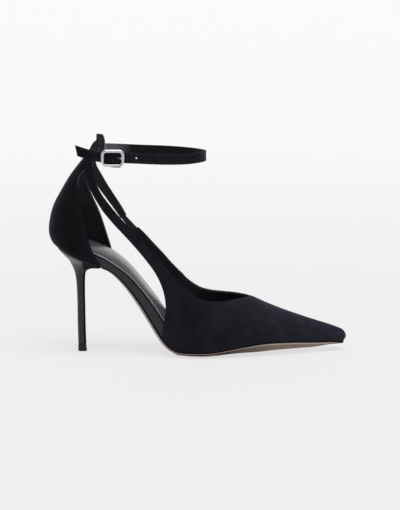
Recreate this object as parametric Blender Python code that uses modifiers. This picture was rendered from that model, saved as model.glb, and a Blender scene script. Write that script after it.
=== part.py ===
"""Right-foot stiletto pump: suede upper with side windows, sling straps, tall counter and ankle strap.

Sizes and tables are in millimetres, x from the back of the counter to the toe, -y to the lateral side and
z up from the floor; MM turns them into metres. An empty carries every piece and puts the origin on the
floor under the middle of the shoe.
"""
import math

import bmesh
import bpy
import numpy as np
from mathutils import Vector

MM = 0.001
NAME = "stiletto_pump"

# Driving sizes
GAP = 0.3               # clearance between neighbouring pieces
WALL = 1.8              # upper: suede, stiffener and lining together
OUTSOLE = 2.1           # outsole thickness at its edge
SOCK = 1.3              # leather sock
BREAST_X = 44.7         # front of the heel, where the outsole starts
BEND_X = 94.0           # bend of the sole behind the ball
END_FACE = 0.006        # share of the outline's length left out at the round ends of sole and insole
TREAD_FLAT = 0.58       # share of the tread's half width that lies flat
STRAP_WIDTH = 8.2       # ankle strap
STRAP_THICK = 1.8
LOOP_WIDTH = 9.4        # keeper loop at the neck
LATERAL = -1
MEDIAL = 1

# Plan at the featherline, where the upper's outer face meets the sole, from heel back to toe point
# columns: x, lateral_y, medial_y
OUTLINE = (
    (6.0, 0.0, 0.0),
    (8.4, -10.5, 10.5),
    (15.5, -19.6, 19.6),
    (27.0, -25.3, 25.3),
    (41.0, -25.9, 25.7),
    (55.0, -25.2, 24.4),
    (69.0, -25.0, 23.8),
    (83.0, -26.8, 25.0),
    (97.0, -31.0, 28.8),
    (111.0, -35.2, 33.2),
    (125.0, -37.4, 36.2),
    (139.0, -36.8, 37.4),
    (153.0, -34.4, 36.9),
    (169.0, -30.0, 34.6),
    (185.0, -24.6, 31.4),
    (201.0, -18.8, 27.4),
    (217.0, -12.4, 23.0),
    (231.0, -6.2, 18.6),
    (241.0, -1.0, 14.4),
    (245.4, 2.8, 11.0),
    (246.6, 7.0, 7.0),
)

# Side profile: seat is the top of sole and heel, under the sole's lowest line, sock the top of the insole on
# the lateral side, and arch how much higher it lies on the medial side
PROFILE_COLUMNS = ("x", "seat_z", "under_z", "sock_z", "arch_z")
PROFILE = (
    (0.0, 90.9, 88.5, 95.8, 0.6),
    (8.0, 87.8, 85.4, 94.2, 1.0),
    (26.0, 80.75, 78.4, 90.2, 2.2),
    (44.6, 73.45, 71.1, 83.4, 2.8),
    (52.0, 69.9, 67.1, 78.9, 3.3),
    (60.0, 63.2, 60.1, 73.4, 2.9),
    (68.0, 54.3, 50.8, 66.8, 1.9),
    (76.0, 43.5, 39.6, 58.0, 1.0),
    (84.0, 31.0, 26.8, 47.9, 0.8),
    (90.0, 21.2, 17.2, 39.7, 0.7),
    (96.0, 12.6, 9.3, 30.6, 0.4),
    (102.0, 7.2, 3.6, 22.8, 0.1),
    (108.0, 4.9, 0.0, 16.8, 0.0),
    (116.0, 4.5, 0.0, 12.6, 0.0),
    (127.0, 4.55, 0.0, 9.9, 0.0),
    (138.0, 5.35, 0.0, 10.1, 0.0),
    (150.0, 7.2, 0.8, 11.4, 0.0),
    (165.0, 9.4, 2.2, 13.2, 0.0),
    (183.0, 10.95, 3.8, 14.4, 0.0),
    (201.0, 10.55, 4.7, 13.7, 0.0),
    (221.0, 9.2, 5.2, 12.0, 0.0),
    (236.0, 8.4, 5.5, 11.0, 0.0),
    (248.0, 7.7, 5.6, 10.2, 0.0),
)

# Vamp sections from toe to the rear corner on the sole: crown is on the ridge, and behind the throat's
# point on the topline of each side; turn is how far the section leans over there, belly its fullest bulge
# columns: foot_x, crown_x, lateral_z, medial_z, lateral_y, medial_y, turn, belly
VAMP = (
    (246.6, 247.5, 11.0, 11.0, 7.0, 7.0, 90.0, 0.0),
    (245.4, 246.3, 14.6, 14.6, 7.0, 7.0, 90.0, 0.5),
    (242.0, 242.6, 17.7, 17.7, 7.0, 7.0, 90.0, 0.9),
    (235.0, 235.0, 20.8, 20.8, 6.9, 6.9, 90.0, 1.1),
    (223.0, 223.0, 24.6, 24.6, 6.4, 6.4, 90.0, 1.4),
    (210.0, 210.0, 28.9, 28.9, 5.7, 5.7, 90.0, 1.7),
    (196.0, 196.0, 33.8, 33.8, 5.0, 5.0, 90.0, 2.0),
    (182.0, 182.0, 39.4, 39.4, 4.3, 4.3, 90.0, 2.2),
    (169.5, 169.5, 45.2, 45.2, 3.6, 3.6, 90.0, 2.2),
    (158.0, 156.5, 45.4, 46.6, -9.4, 15.8, 77.0, 2.2),
    (146.0, 145.0, 45.0, 46.6, -20.0, 24.2, 65.0, 2.2),
    (134.0, 134.5, 46.0, 46.9, -27.2, 29.6, 53.0, 2.2),
    (122.0, 126.0, 48.6, 48.9, -30.8, 31.8, 43.0, 2.0),
    (110.0, 118.5, 54.0, 53.2, -32.6, 32.4, 34.0, 1.8),
    (100.0, 113.2, 58.8, 57.6, -33.2, 32.4, 28.0, 1.6),
    (94.4, 110.6, 61.2, 60.6, -33.3, 32.3, 24.0, 1.4),
)

THROAT_ROW = 8          # row at the throat's point, where the ridge parts into two toplines

# Sling strap sections above the sole, from the vamp's rear edge to the neck
# columns: foot_x, foot_y, foot_z, crown_x, crown_y, crown_z
LATERAL_SLING = (
    (96.3, -31.8, 28.0, 109.8, -33.3, 61.9),
    (97.4, -32.7, 40.0, 108.6, -33.3, 62.9),
    (96.4, -33.0, 51.0, 105.6, -33.2, 65.8),
    (93.5, -32.9, 60.8, 100.9, -32.9, 70.6),
    (88.5, -32.3, 70.7, 94.8, -32.2, 77.6),
    (81.2, -31.2, 80.6, 87.2, -31.2, 86.2),
    (73.0, -29.7, 90.3, 79.2, -29.9, 95.4),
    (64.0, -27.8, 100.0, 70.0, -28.2, 104.7),
    (54.7, -25.4, 109.7, 61.0, -26.0, 114.2),
    (46.5, -22.4, 119.1, 53.2, -23.2, 123.1),
    (39.8, -18.8, 129.0, 46.4, -19.8, 131.6),
    (35.4, -16.0, 137.0, 42.2, -17.0, 138.4),
    (32.2, -13.6, 144.9, 39.3, -14.6, 145.2),
    (30.9, -11.6, 152.0, 38.0, -12.7, 152.0),
    (30.4, -8.7, 159.6, 37.6, -11.4, 160.0),
)
# Medial side: the vamp's extension ends at the elastic, and the sling's own strip goes on above it
MEDIAL_EXTENSION = (
    (96.3, 30.4, 28.0, 109.8, 32.3, 61.3),
    (97.4, 31.4, 40.0, 108.6, 32.3, 62.4),
    (96.4, 31.9, 51.0, 105.6, 32.2, 65.4),
    (93.5, 31.9, 60.8, 100.9, 31.9, 70.4),
    (88.5, 31.5, 70.7, 94.8, 31.4, 77.5),
    (81.2, 30.4, 80.6, 87.2, 30.4, 85.8),
    (73.6, 29.0, 89.6, 79.6, 29.1, 94.4),
    (67.3, 27.6, 96.6, 73.3, 27.8, 100.7),
)
MEDIAL_SLING = (
    (58.7, 25.0, 108.2, 63.5, 25.4, 111.3),
    (53.5, 23.4, 114.5, 59.9, 24.0, 118.3),
    (46.3, 20.7, 124.4, 53.8, 21.8, 128.2),
    (39.7, 17.6, 135.4, 47.5, 18.9, 138.7),
    (35.5, 14.8, 145.2, 42.9, 15.9, 147.4),
    (32.6, 12.3, 153.0, 39.8, 13.2, 153.5),
    (31.0, 9.2, 159.4, 38.4, 11.5, 159.8),
)
SLING_TURN = 12.0
SLING_BELLY = 0.25
SLING_EASE = (0.6, 0.3, 0.1)    # share of the vamp's last turn and belly left in the first strap rows
ELASTIC_INSETS = (0.2, 1.0)     # how far the elastic keeps from the strap's lower and upper edge
ELASTIC_THICK = 1.2

# Counter sections from the seat to the neck: half an ellipse round the back, cut off at the two front edges
# columns: back_x, back_z, depth, half_width, lateral_x, medial_x, fall
COUNTER = (
    (6.0, 89.1, 29.0, 26.4, 44.8, 51.0, -0.385),
    (2.6, 92.8, 29.2, 26.9, 42.2, 51.8, -0.375),
    (0.3, 100.0, 29.0, 26.6, 37.6, 51.0, -0.34),
    (0.9, 110.0, 27.5, 25.0, 33.0, 47.0, -0.29),
    (4.2, 122.5, 24.0, 21.8, 29.2, 41.6, -0.23),
    (10.5, 134.5, 19.5, 17.6, 26.6, 34.6, -0.16),
    (17.2, 145.8, 15.5, 13.8, 25.4, 30.4, -0.10),
    (21.9, 152.4, 13.8, 12.0, 29.4, 33.4, -0.05),
    (26.6, 158.4, 12.4, 10.7, 37.0, 38.2, 0.0),
    (29.8, 162.2, 11.6, 9.9, 38.6, 39.6, 0.0),
)

BELLY_PEAK = 27 / 4     # brings the peak of v (1 - v)^2, a third of the way up, to one
SIDE_TAPER = 0.14       # how the counter's sides draw in again in front of its widest place

# Heel sections from the seat down: back and front of each, half width and where that lies
# columns: back_x, back_z, front_x, front_z, half_width, widest
HEEL = (
    (7.0, 88.15, 44.6, 73.4, 25.0, 0.62),
    (8.4, 85.8, 44.5, 71.9, 24.2, 0.62),
    (12.6, 81.2, 42.0, 71.1, 19.6, 0.61),
    (16.3, 77.2, 37.0, 70.6, 13.8, 0.60),
    (18.7, 73.0, 33.0, 69.2, 9.4, 0.59),
    (20.7, 68.4, 30.8, 67.0, 6.4, 0.58),
    (22.0, 63.0, 29.9, 62.5, 4.7, 0.56),
    (22.9, 54.0, 29.7, 54.0, 3.9, 0.54),
    (23.3, 40.0, 29.8, 40.0, 3.4, 0.52),
    (23.4, 22.0, 30.0, 22.0, 3.3, 0.50),
    (23.8, 6.7, 30.4, 6.7, 3.4, 0.50),
)
# Top piece under the heel, flared to the floor; columns: back_x, front_x, z, half_width
TIP = (
    (23.6, 31.1, 0.0, 3.9),
    (23.7, 30.7, 2.6, 3.7),
    (23.8, 30.4, 6.4, 3.5),
)
TIP_BEVEL = 0.5

# Ankle strap's middle line, from the end at the buckle's bar round the ankle to the free end
# columns: x, y, z
ANKLE = (
    (61.0, -26.2, 162.7),
    (54.0, -26.3, 163.1),
    (47.6, -22.4, 164.8),
    (43.0, -13.0, 167.0),
    (41.4, 0.0, 168.0),
    (43.2, 13.0, 168.0),
    (49.4, 22.6, 167.4),
    (60.0, 28.0, 166.5),
    (78.0, 30.6, 165.5),
    (98.0, 28.6, 164.9),
    (114.0, 22.4, 164.2),
    (125.4, 12.2, 163.6),
    (129.6, 0.0, 163.3),
    (125.4, -13.0, 162.9),
    (114.0, -23.6, 162.3),
    (98.0, -29.6, 162.5),
    (82.0, -31.4, 163.2),
    (66.0, -31.3, 163.9),
    (55.0, -31.3, 164.0),
    (45.5, -31.3, 164.6),
    (35.0, -31.6, 167.0),
    (25.4, -32.2, 170.1),
)
TAIL_SLANT = 2.0        # how much longer the upper edge is at the free end
TAIL_LENGTH = 0.04      # share of the strap's length over which that comes in
HOLE_RADIUS = 0.8
PRONG_HOLE_RADIUS = 1.5
PRONG_HOLE_X = 59.7
SPARE_HOLE_X = 74.0
HOLE_Y = -31.3
HOLE_Z = 163.9
HOLE_DEPTH = 4.0

# Keeper loop in the side view, from inside the neck up: a shoulder seats it on the neck's top edge
# columns: z, back_x, front_x
LOOP = (
    (157.6, 33.2, 36.8),
    (160.4, 33.4, 39.4),
    (162.4, 33.4, 43.4),
    (162.5, 30.2, 43.6),
    (166.0, 32.6, 45.8),
    (169.5, 34.9, 46.7),
    (172.0, 36.1, 47.0),
    (174.4, 37.7, 47.1),
    (175.7, 39.9, 47.0),
    (178.4, 40.5, 46.4),
    (180.1, 41.0, 45.6),
    (180.9, 41.9, 43.8),
)
SLOT_BACK_X = 40.0      # slot that the ankle strap runs through
SLOT_FRONT_X = 43.2
SLOT_LOW_Z = 163.0
SLOT_TOP_Z = 172.8

# Buckle, drawn about its own middle: a wire frame with a centre bar set back under the strap
BUCKLE_X = 54.9
BUCKLE_Z = 163.9
BUCKLE_LENGTH = 16.5    # middle line of the wire
BUCKLE_HEIGHT = 11.6
BUCKLE_CORNER = 3.2
BUCKLE_WIRE = 1.15      # radius
BUCKLE_Y = -33.75
BAR_WIRE = 1.0
BAR_Y = -28.85
BAR_SINK = 0.2          # how far the bar's ends stop short of the frame's middle line
PRONG_WIRE = 0.65
# columns: x, y
PRONG = (
    (56.9, -28.9),
    (58.6, -29.5),
    (59.6, -31.2),
    (60.3, -33.3),
    (61.5, -35.0),
    (63.3, -35.85),
    (64.5, -35.7),
)

# Mesh steps
ROW_STEPS = 2           # along the upper's halves, for each table row, so that they meet along the ridge
SECTION_STEPS = 7
SLING_STEPS = 16
SLING_ACROSS = 3
COUNTER_STEPS = 15
COUNTER_ACROSS = 24
SOLE_STEPS = 48
SOLE_ACROSS = 8
INSOLE_ACROSS = 4
HEEL_STEPS = 18
HEEL_SIDES = 24
STRAP_STEPS = 84
LOOP_ACROSS = 2
HOLE_SIDES = 12
CORNER_STEPS = 4
PRONG_STEPS = 12
OUTLINE_SAMPLES = 801   # places at which the plan outline is looked up
NUDGE = 0.01            # step in table rows for a direction
WELD = 0.01             # grid points closer than this are one point
SHARP = 40.0            # edges with a larger angle, in degrees, stay crisp

COLOURS = {
    "upper": ((0.012, 0.012, 0.015), 0.95, 0.0),
    "sling_elastic": ((0.015, 0.015, 0.018), 0.8, 0.0),
    "outsole": ((0.46, 0.29, 0.17), 0.6, 0.0),
    "insole_board": ((0.014, 0.014, 0.017), 0.9, 0.0),
    "insole_sock": ((0.02, 0.02, 0.022), 0.35, 0.0),
    "heel": ((0.015, 0.015, 0.017), 0.3, 0.0),
    "heel_tip": ((0.012, 0.012, 0.012), 0.6, 0.0),
    "ankle_strap": ((0.012, 0.012, 0.015), 0.95, 0.0),
    "back_loop": ((0.012, 0.012, 0.015), 0.95, 0.0),
    "buckle_frame": ((0.85, 0.85, 0.86), 0.15, 1.0),
    "buckle_prong": ((0.85, 0.85, 0.86), 0.15, 1.0),
}


def through(rows, u):
    """Smooth curve through a table's rows: u runs from 0 at the first row to 1 at the last."""
    rows = np.asarray(rows, dtype=float)
    last = len(rows) - 1
    place = min(max(u, 0.0), 1.0) * last
    i = min(int(place), last - 1)
    f = place - i
    before = rows[i - 1] if i > 0 else 2 * rows[0] - rows[1]
    after = rows[i + 2] if i + 2 <= last else 2 * rows[last] - rows[last - 1]
    a, b = rows[i], rows[i + 1]
    bend = 2 * before - 5 * a + 4 * b - after
    twist = -before + 3 * a - 3 * b + after
    return a + 0.5 * f * ((b - before) + f * (bend + f * twist))


def profile(column, x):
    """Height of one column of the side profile at x, with no overshoot between its rows."""
    xs = np.array([row[0] for row in PROFILE])
    zs = np.array([row[PROFILE_COLUMNS.index(column)] for row in PROFILE])
    steps = np.diff(xs)
    slopes = np.diff(zs) / steps
    tangents = np.zeros(len(xs))
    tangents[0], tangents[-1] = slopes[0], slopes[-1]
    for k in range(1, len(xs) - 1):
        if slopes[k - 1] * slopes[k] > 0:
            tangents[k] = 2 * slopes[k - 1] * slopes[k] / (slopes[k - 1] + slopes[k])
    i = int(np.clip(np.searchsorted(xs, x) - 1, 0, len(steps) - 1))
    f = (min(max(x, xs[0]), xs[-1]) - xs[i]) / steps[i]
    return (
        (1 + 2 * f) * (1 - f) ** 2 * zs[i]
        + f * (1 - f) ** 2 * steps[i] * tangents[i]
        + f * f * (3 - 2 * f) * zs[i + 1]
        + f * f * (f - 1) * steps[i] * tangents[i + 1]
    )


def seat(x):
    return profile("seat_z", x)


def ring_point(place):
    """Point of the closed plan outline: place 0 is the heel back, and it runs on along the lateral side."""
    lateral = [(row[0], row[1]) for row in OUTLINE]
    medial = [(row[0], row[2]) for row in OUTLINE[-2:0:-1]]
    ring = np.array(lateral + medial)
    count = len(ring)
    i = int(math.floor(place))
    f = place - i
    before, a, b, after = (ring[(i + k) % count] for k in (-1, 0, 1, 2))
    bend = 2 * before - 5 * a + 4 * b - after
    twist = -before + 3 * a - 3 * b + after
    return a + 0.5 * f * ((b - before) + f * (bend + f * twist))


def edge(side, t, inset):
    """Plan point at t, 0 at the heel and 1 at the toe, moved in from the featherline by inset."""
    place = t * (len(OUTLINE) - 1)
    if side == MEDIAL:
        place = -place
    along = ring_point(place + NUDGE) - ring_point(place - NUDGE)
    along /= np.linalg.norm(along)
    return ring_point(place) + inset * np.array((-along[1], along[0]))


def outline_share(x):
    """Place t along the lateral outline where it reaches x."""
    ts = np.linspace(0.0, 1.0, OUTLINE_SAMPLES)
    xs = [edge(LATERAL, t, 0.0)[0] for t in ts]
    return float(np.interp(x, xs, ts))


def featherline_y(side, x):
    ts = np.linspace(0.0, 1.0, OUTLINE_SAMPLES)
    points = np.array([edge(side, t, 0.0) for t in ts])
    return float(np.interp(x, points[:, 0], points[:, 1]))


def half_rows(side, sling):
    """Rows of one half of the upper: foot, crown, turn and belly, from the toe to the last strap row."""
    rows = []
    for foot_x, crown_x, lateral_z, medial_z, lateral_y, medial_y, turn, belly in VAMP:
        crown_y, crown_z = (lateral_y, lateral_z) if side == LATERAL else (medial_y, medial_z)
        foot_y = featherline_y(side, foot_x)
        rows.append((foot_x, foot_y, seat(foot_x) + GAP, crown_x, crown_y, crown_z, turn, belly))
    for k, row in enumerate(sling):
        share = SLING_EASE[k] if k < len(SLING_EASE) else 0.0
        turn = SLING_TURN + (VAMP[-1][6] - SLING_TURN) * share
        belly = SLING_BELLY + (VAMP[-1][7] - SLING_BELLY) * share
        rows.append((*row, turn, belly))
    return rows


def section_point(row, side, v):
    """Point of a section: v is 0 at its foot and 1 at its crown."""
    foot, crown = np.array(row[0:3]), np.array(row[3:6])
    turn = math.radians(row[6])
    rise = math.sin(turn * v) / math.sin(turn)
    leans_in = side * (crown[1] - foot[1]) < 0
    lean = (1 - math.cos(turn * v)) / (1 - math.cos(turn)) if leans_in else rise
    point = foot + (crown - foot) * rise
    bulge = row[7] * BELLY_PEAK * v * (1 - v) ** 2
    point[1] = foot[1] + (crown[1] - foot[1]) * lean + side * bulge
    return point


def half_point(rows, side, u, v):
    """Outer face of one half of the upper; feet on the sole keep to its top, and crowns to the ridge."""
    row = through(rows, u)
    place = u * (len(rows) - 1)
    if place <= len(VAMP) - 1:
        row[2] = seat(row[0]) + GAP
    if place <= THROAT_ROW:
        row[3:6] = through(rows[:THROAT_ROW + 1], place / THROAT_ROW)[3:6]
    return section_point(row, side, v)


def counter_wrap(back_x, depth, edge_x):
    """How far round a counter section goes to reach edge_x: a quarter turn is its widest place."""
    reach = (edge_x - back_x) / depth
    if reach <= 1:
        return math.acos(1 - reach)
    return math.pi / 2 + reach - 1


def counter_point(u, v):
    """Outer face of the counter: u runs up from the seat, v round the back from lateral to medial edge."""
    back_x, back_z, depth, half_width, lateral_x, medial_x, fall = through(COUNTER, u)
    start = -counter_wrap(back_x, depth, lateral_x)
    end = counter_wrap(back_x, depth, medial_x)
    angle = start + (end - start) * v
    past = max(0.0, abs(angle) - math.pi / 2)
    if past > 0:
        x = back_x + depth * (1 + past)
        y = math.copysign(half_width * (1 - SIDE_TAPER * past * past), angle)
    else:
        x = back_x + depth * (1 - math.cos(angle))
        y = half_width * math.sin(angle)
    return np.array((x, y, back_z + fall * (x - back_x)))


def make_collection(name):
    collection = bpy.data.collections.new(name)
    bpy.context.scene.collection.children.link(collection)
    return collection


def make_material(name):
    colour, roughness, metallic = COLOURS[name]
    material = bpy.data.materials.new(name)
    material.use_nodes = True
    shader = material.node_tree.nodes["Principled BSDF"]
    shader.inputs["Base Color"].default_value = (*colour, 1.0)
    shader.inputs["Roughness"].default_value = roughness
    shader.inputs["Metallic"].default_value = metallic
    return material


def add_part(name, mesh, root, parts):
    """Object of one sub-part, with its own material, carried by the root."""
    part = bpy.data.objects.new(name, mesh)
    part.data.materials.clear()
    part.data.materials.append(make_material(name))
    part.data.shade_smooth()
    part.data.set_sharp_from_angle(angle=math.radians(SHARP))
    part.parent = root
    parts.objects.link(part)
    return part


def add_cutter(name, mesh, root, cutters):
    """Object that only cuts or joins another one."""
    cutter = bpy.data.objects.new(name, mesh)
    cutter.hide_render = True
    cutter.display_type = 'WIRE'
    cutter.parent = root
    cutters.objects.link(cutter)
    return cutter


def boolean(part, cutter, operation):
    modifier = part.modifiers.new(cutter.name, 'BOOLEAN')
    modifier.object = cutter
    modifier.operation = operation
    modifier.solver = 'EXACT'


def sheet(bm, steps, across, place, outward):
    """Open grid laid on a surface function, its faces turned to the outward side."""
    made = bmesh.ops.create_grid(bm, x_segments=steps, y_segments=across, size=0.5)
    for vert in made["verts"]:
        vert.co = Vector(place(vert.co.x + 0.5, vert.co.y + 0.5)) * MM
    faces = list({face for vert in made["verts"] for face in vert.link_faces})
    bmesh.ops.remove_doubles(bm, verts=made["verts"], dist=WELD * MM)
    faces = [face for face in faces if face.is_valid]
    for face in faces:
        face.normal_update()
    facing = sum(face.normal.dot(Vector(outward)) for face in faces)
    if facing < 0:
        bmesh.ops.reverse_faces(bm, faces=faces)


def shell(name, sheets):
    """Wall of the upper: open sheets joined where they meet, with their thickness on the inner side."""
    bm = bmesh.new()
    for steps, across, place, outward in sheets:
        sheet(bm, steps, across, place, outward)
    bmesh.ops.remove_doubles(bm, verts=bm.verts, dist=2 * WELD * MM)
    mesh = bpy.data.meshes.new(name)
    bm.to_mesh(mesh)
    bm.free()
    return mesh


def thicken(part, thickness):
    wall = part.modifiers.new("wall", 'SOLIDIFY')
    wall.thickness = thickness * MM
    wall.offset = -1.0


def slab(name, steps, across, place):
    """Closed solid between two grids: place takes u along, v across and w, 0 below and 1 above."""
    bm = bmesh.new()
    lower = bmesh.ops.create_grid(bm, x_segments=steps, y_segments=across, size=0.5)["verts"]
    upper = [item for item in bmesh.ops.extrude_face_region(bm, geom=bm.faces[:])["geom"]
             if isinstance(item, bmesh.types.BMVert)]
    for verts, w in ((lower, 0.0), (upper, 1.0)):
        for vert in verts:
            vert.co = Vector(place(vert.co.x + 0.5, vert.co.y + 0.5, w)) * MM
    bmesh.ops.remove_doubles(bm, verts=bm.verts, dist=WELD * MM)
    bmesh.ops.recalc_face_normals(bm, faces=bm.faces)
    mesh = bpy.data.meshes.new(name)
    bm.to_mesh(mesh)
    bm.free()
    return mesh


def rows_between(inset, t, v):
    """Plan point between the two sides at t: v is 0 on the lateral edge and 1 on the medial edge."""
    return edge(LATERAL, t, inset) * (1 - v) + edge(MEDIAL, t, inset) * v


def stations():
    """Places along the outline, drawn together at the round ends and at the bend behind the ball."""
    bend_share, bend_reach = 1.5, 26.0
    end_share, end_reach = 4.0, 4.0
    ts = np.linspace(END_FACE, 1 - END_FACE, OUTLINE_SAMPLES)
    xs = np.array([edge(LATERAL, t, 0.0)[0] for t in ts])
    bend = bend_share * np.exp(-((xs - BEND_X) / bend_reach) ** 2)
    ends = end_share * (np.exp((xs[0] - xs) / end_reach) + np.exp((xs - xs[-1]) / end_reach))
    weight = np.cumsum((1 + bend + ends) * np.gradient(xs))
    weight = (weight - weight[0]) / (weight[-1] - weight[0])
    return np.interp(np.linspace(0.0, 1.0, SOLE_STEPS + 1), weight, ts)


def make_upper(root, parts, cutters):
    lateral = half_rows(LATERAL, LATERAL_SLING)
    medial = half_rows(MEDIAL, MEDIAL_EXTENSION)
    lateral_steps = ROW_STEPS * (len(lateral) - 1)
    medial_steps = ROW_STEPS * (len(medial) - 1)
    vamp = shell("upper", (
        (lateral_steps, SECTION_STEPS, lambda u, v: half_point(lateral, LATERAL, u, v), (0.0, -1.0, 0.4)),
        (medial_steps, SECTION_STEPS, lambda u, v: half_point(medial, MEDIAL, u, v), (0.0, 1.0, 0.4)),
    ))
    upper = add_part("upper", vamp, root, parts)
    thicken(upper, WALL)
    counter = add_cutter("counter_wall", shell("counter_wall", (
        (COUNTER_STEPS, COUNTER_ACROSS, counter_point, (-1.0, 0.0, 0.0)),
    )), root, cutters)
    thicken(counter, WALL)
    sling_rows = [(*row, SLING_TURN, SLING_BELLY) for row in MEDIAL_SLING]

    def sling_point(u, v):
        return section_point(through(sling_rows, u), MEDIAL, v)

    sling = add_cutter("medial_sling", shell("medial_sling", (
        (SLING_STEPS, SLING_ACROSS, sling_point, (0.0, 1.0, 0.4)),
    )), root, cutters)
    thicken(sling, WALL)
    boolean(upper, counter, 'UNION')
    boolean(upper, sling, 'UNION')


def make_elastic(root, parts):
    """Narrow strip between the two cut ends of the medial sling, half way through their thickness."""
    ends = (np.array(MEDIAL_EXTENSION[-1]), np.array(MEDIAL_SLING[0]))

    def place(u, v, w):
        row = ends[0] * (1 - u) + ends[1] * u
        foot, crown = row[0:3], row[3:6]
        across = (crown - foot) / np.linalg.norm(crown - foot)
        along = (ends[1] - ends[0])[0:3]
        along /= np.linalg.norm(along)
        normal = np.cross(across, along)
        normal *= math.copysign(1.0, normal[1])
        low, high = ELASTIC_INSETS
        point = foot + across * low + (crown - foot - (low + high) * across) * v
        depth = 0.5 * (WALL - ELASTIC_THICK) + ELASTIC_THICK * (1 - w)
        return point + along * GAP * (1 - 2 * u) - normal * depth

    add_part("sling_elastic", slab("sling_elastic", 4, 2, place), root, parts)


def make_insole(root, parts):
    """Board on the sole and heel, and the sock on it, both filling the counter's hollow at the back."""
    edge_inset = WALL + 0.8
    heel_flare, heel_reach = 2.4, 11.0
    sock_inset = 0.3
    places = stations()

    def heel_share(x):
        return math.exp(-((x - OUTLINE[0][0]) / heel_reach) ** 2)

    def top_at(x, v):
        return profile("sock_z", x) + v * profile("arch_z", x)

    def board(u, v, w):
        t = places[round(u * SOLE_STEPS)]
        x, y = rows_between(edge_inset, t, v)
        wide_x, wide_y = rows_between(edge_inset - heel_flare * heel_share(x), t, v)
        if w == 0.0:
            return (x, y, seat(x) + GAP)
        return (wide_x, wide_y, top_at(x, v) - SOCK - GAP)

    def sock(u, v, w):
        t = places[round(u * SOLE_STEPS)]
        x, _ = rows_between(edge_inset, t, v)
        wide_x, wide_y = rows_between(edge_inset + sock_inset - heel_flare * heel_share(x), t, v)
        return (wide_x, wide_y, top_at(x, v) - SOCK * (1 - w))

    add_part("insole_board", slab("insole_board", SOLE_STEPS, INSOLE_ACROSS, board), root, parts)
    add_part("insole_sock", slab("insole_sock", SOLE_STEPS, INSOLE_ACROSS, sock), root, parts)


def make_outsole(root, parts):
    """Thin sole from the heel's breast to the toe, crowned below, with a flat tread under the ball."""
    waist_inset, tread_inset = 2.8, 0.7
    waist_end_x, tread_start_x = 86.0, 108.0
    crown_power = 1.6
    start = outline_share(BREAST_X + GAP)
    least_step = 0.01
    places = [start] + [t for t in stations() if t > start + least_step]
    steps = len(places) - 1

    def inset_at(x):
        share = min(max((x - waist_end_x) / (tread_start_x - waist_end_x), 0.0), 1.0)
        return waist_inset + (tread_inset - waist_inset) * share * share * (3 - 2 * share)

    def place(u, v, w):
        t = places[round(u * steps)]
        x, _ = rows_between(tread_inset, t, v)
        x, y = rows_between(inset_at(x), t, v)
        if w == 1.0:
            return (x, y, seat(x))
        slope = seat(x + 0.5) - seat(x - 0.5)
        rim = seat(x) - OUTSOLE * math.hypot(1.0, slope)
        across = abs(2 * v - 1)
        share = max(0.0, (across - TREAD_FLAT) / (1 - TREAD_FLAT)) ** crown_power
        low = profile("under_z", x)
        return (x, y, low + (rim - low) * share)

    add_part("outsole", slab("outsole", steps, SOLE_ACROSS, place), root, parts)


def heel_ring(row, k, sides, square):
    """Point k of a heel section: round at the back, squarer at the breast."""
    back_x, back_z, front_x, front_z, half_width, widest = row
    angle = 2 * math.pi * (k + 0.5) / sides
    along, out = -math.cos(angle), math.sin(angle)
    length = front_x - back_x
    middle = back_x + widest * length
    if along < 0:
        x = middle + along * widest * length
    else:
        power = 2 / square
        x = middle + along ** power * (1 - widest) * length
        out = math.copysign(abs(out) ** power, out)
    z = back_z + (front_z - back_z) * (x - back_x) / length
    return Vector((x, half_width * out, z)) * MM


def loft(name, rows, sides, square):
    """Closed solid through rings of equal count, capped at both ends."""
    bm = bmesh.new()
    rings = []
    for row in rows:
        rings.append([bm.verts.new(heel_ring(row, k, sides, square)) for k in range(sides)])
    for lower, upper in zip(rings, rings[1:]):
        for k in range(sides):
            bm.faces.new((lower[k], lower[(k + 1) % sides], upper[(k + 1) % sides], upper[k]))
    bm.faces.new(rings[0])
    bm.faces.new(rings[-1])
    bmesh.ops.recalc_face_normals(bm, faces=bm.faces)
    mesh = bpy.data.meshes.new(name)
    bm.to_mesh(mesh)
    bm.free()
    return mesh


def make_heel(root, parts):
    heel_square, tip_square = 5.0, 3.0
    rows = [through(HEEL, k / HEEL_STEPS) for k in range(HEEL_STEPS + 1)]
    add_part("heel", loft("heel", rows, HEEL_SIDES, heel_square), root, parts)
    tip_rows = [(back_x, z, front_x, z, half_width, 0.5) for back_x, front_x, z, half_width in TIP]
    tip = add_part("heel_tip", loft("heel_tip", tip_rows, HEEL_SIDES, tip_square), root, parts)
    bevel = tip.modifiers.new("edge", 'BEVEL')
    bevel.width = TIP_BEVEL * MM
    bevel.segments = 2
    bevel.limit_method = 'ANGLE'


def ankle_point(u, v, w):
    """Flat strip that stands on edge along its path: v runs up its width, w through its thickness."""
    nudge = NUDGE / len(ANKLE)
    here = through(ANKLE, u)
    ahead = through(ANKLE, u + nudge) - through(ANKLE, u - nudge)
    ahead /= np.linalg.norm(ahead)
    out = np.array((ahead[1], -ahead[0], 0.0))
    out /= np.linalg.norm(out)
    tail = max(0.0, (u - 1 + TAIL_LENGTH) / TAIL_LENGTH)
    up = np.array((0.0, 0.0, STRAP_WIDTH)) + ahead * TAIL_SLANT * tail
    return here + out * STRAP_THICK * (w - 0.5) + up * (v - 0.5)


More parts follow.
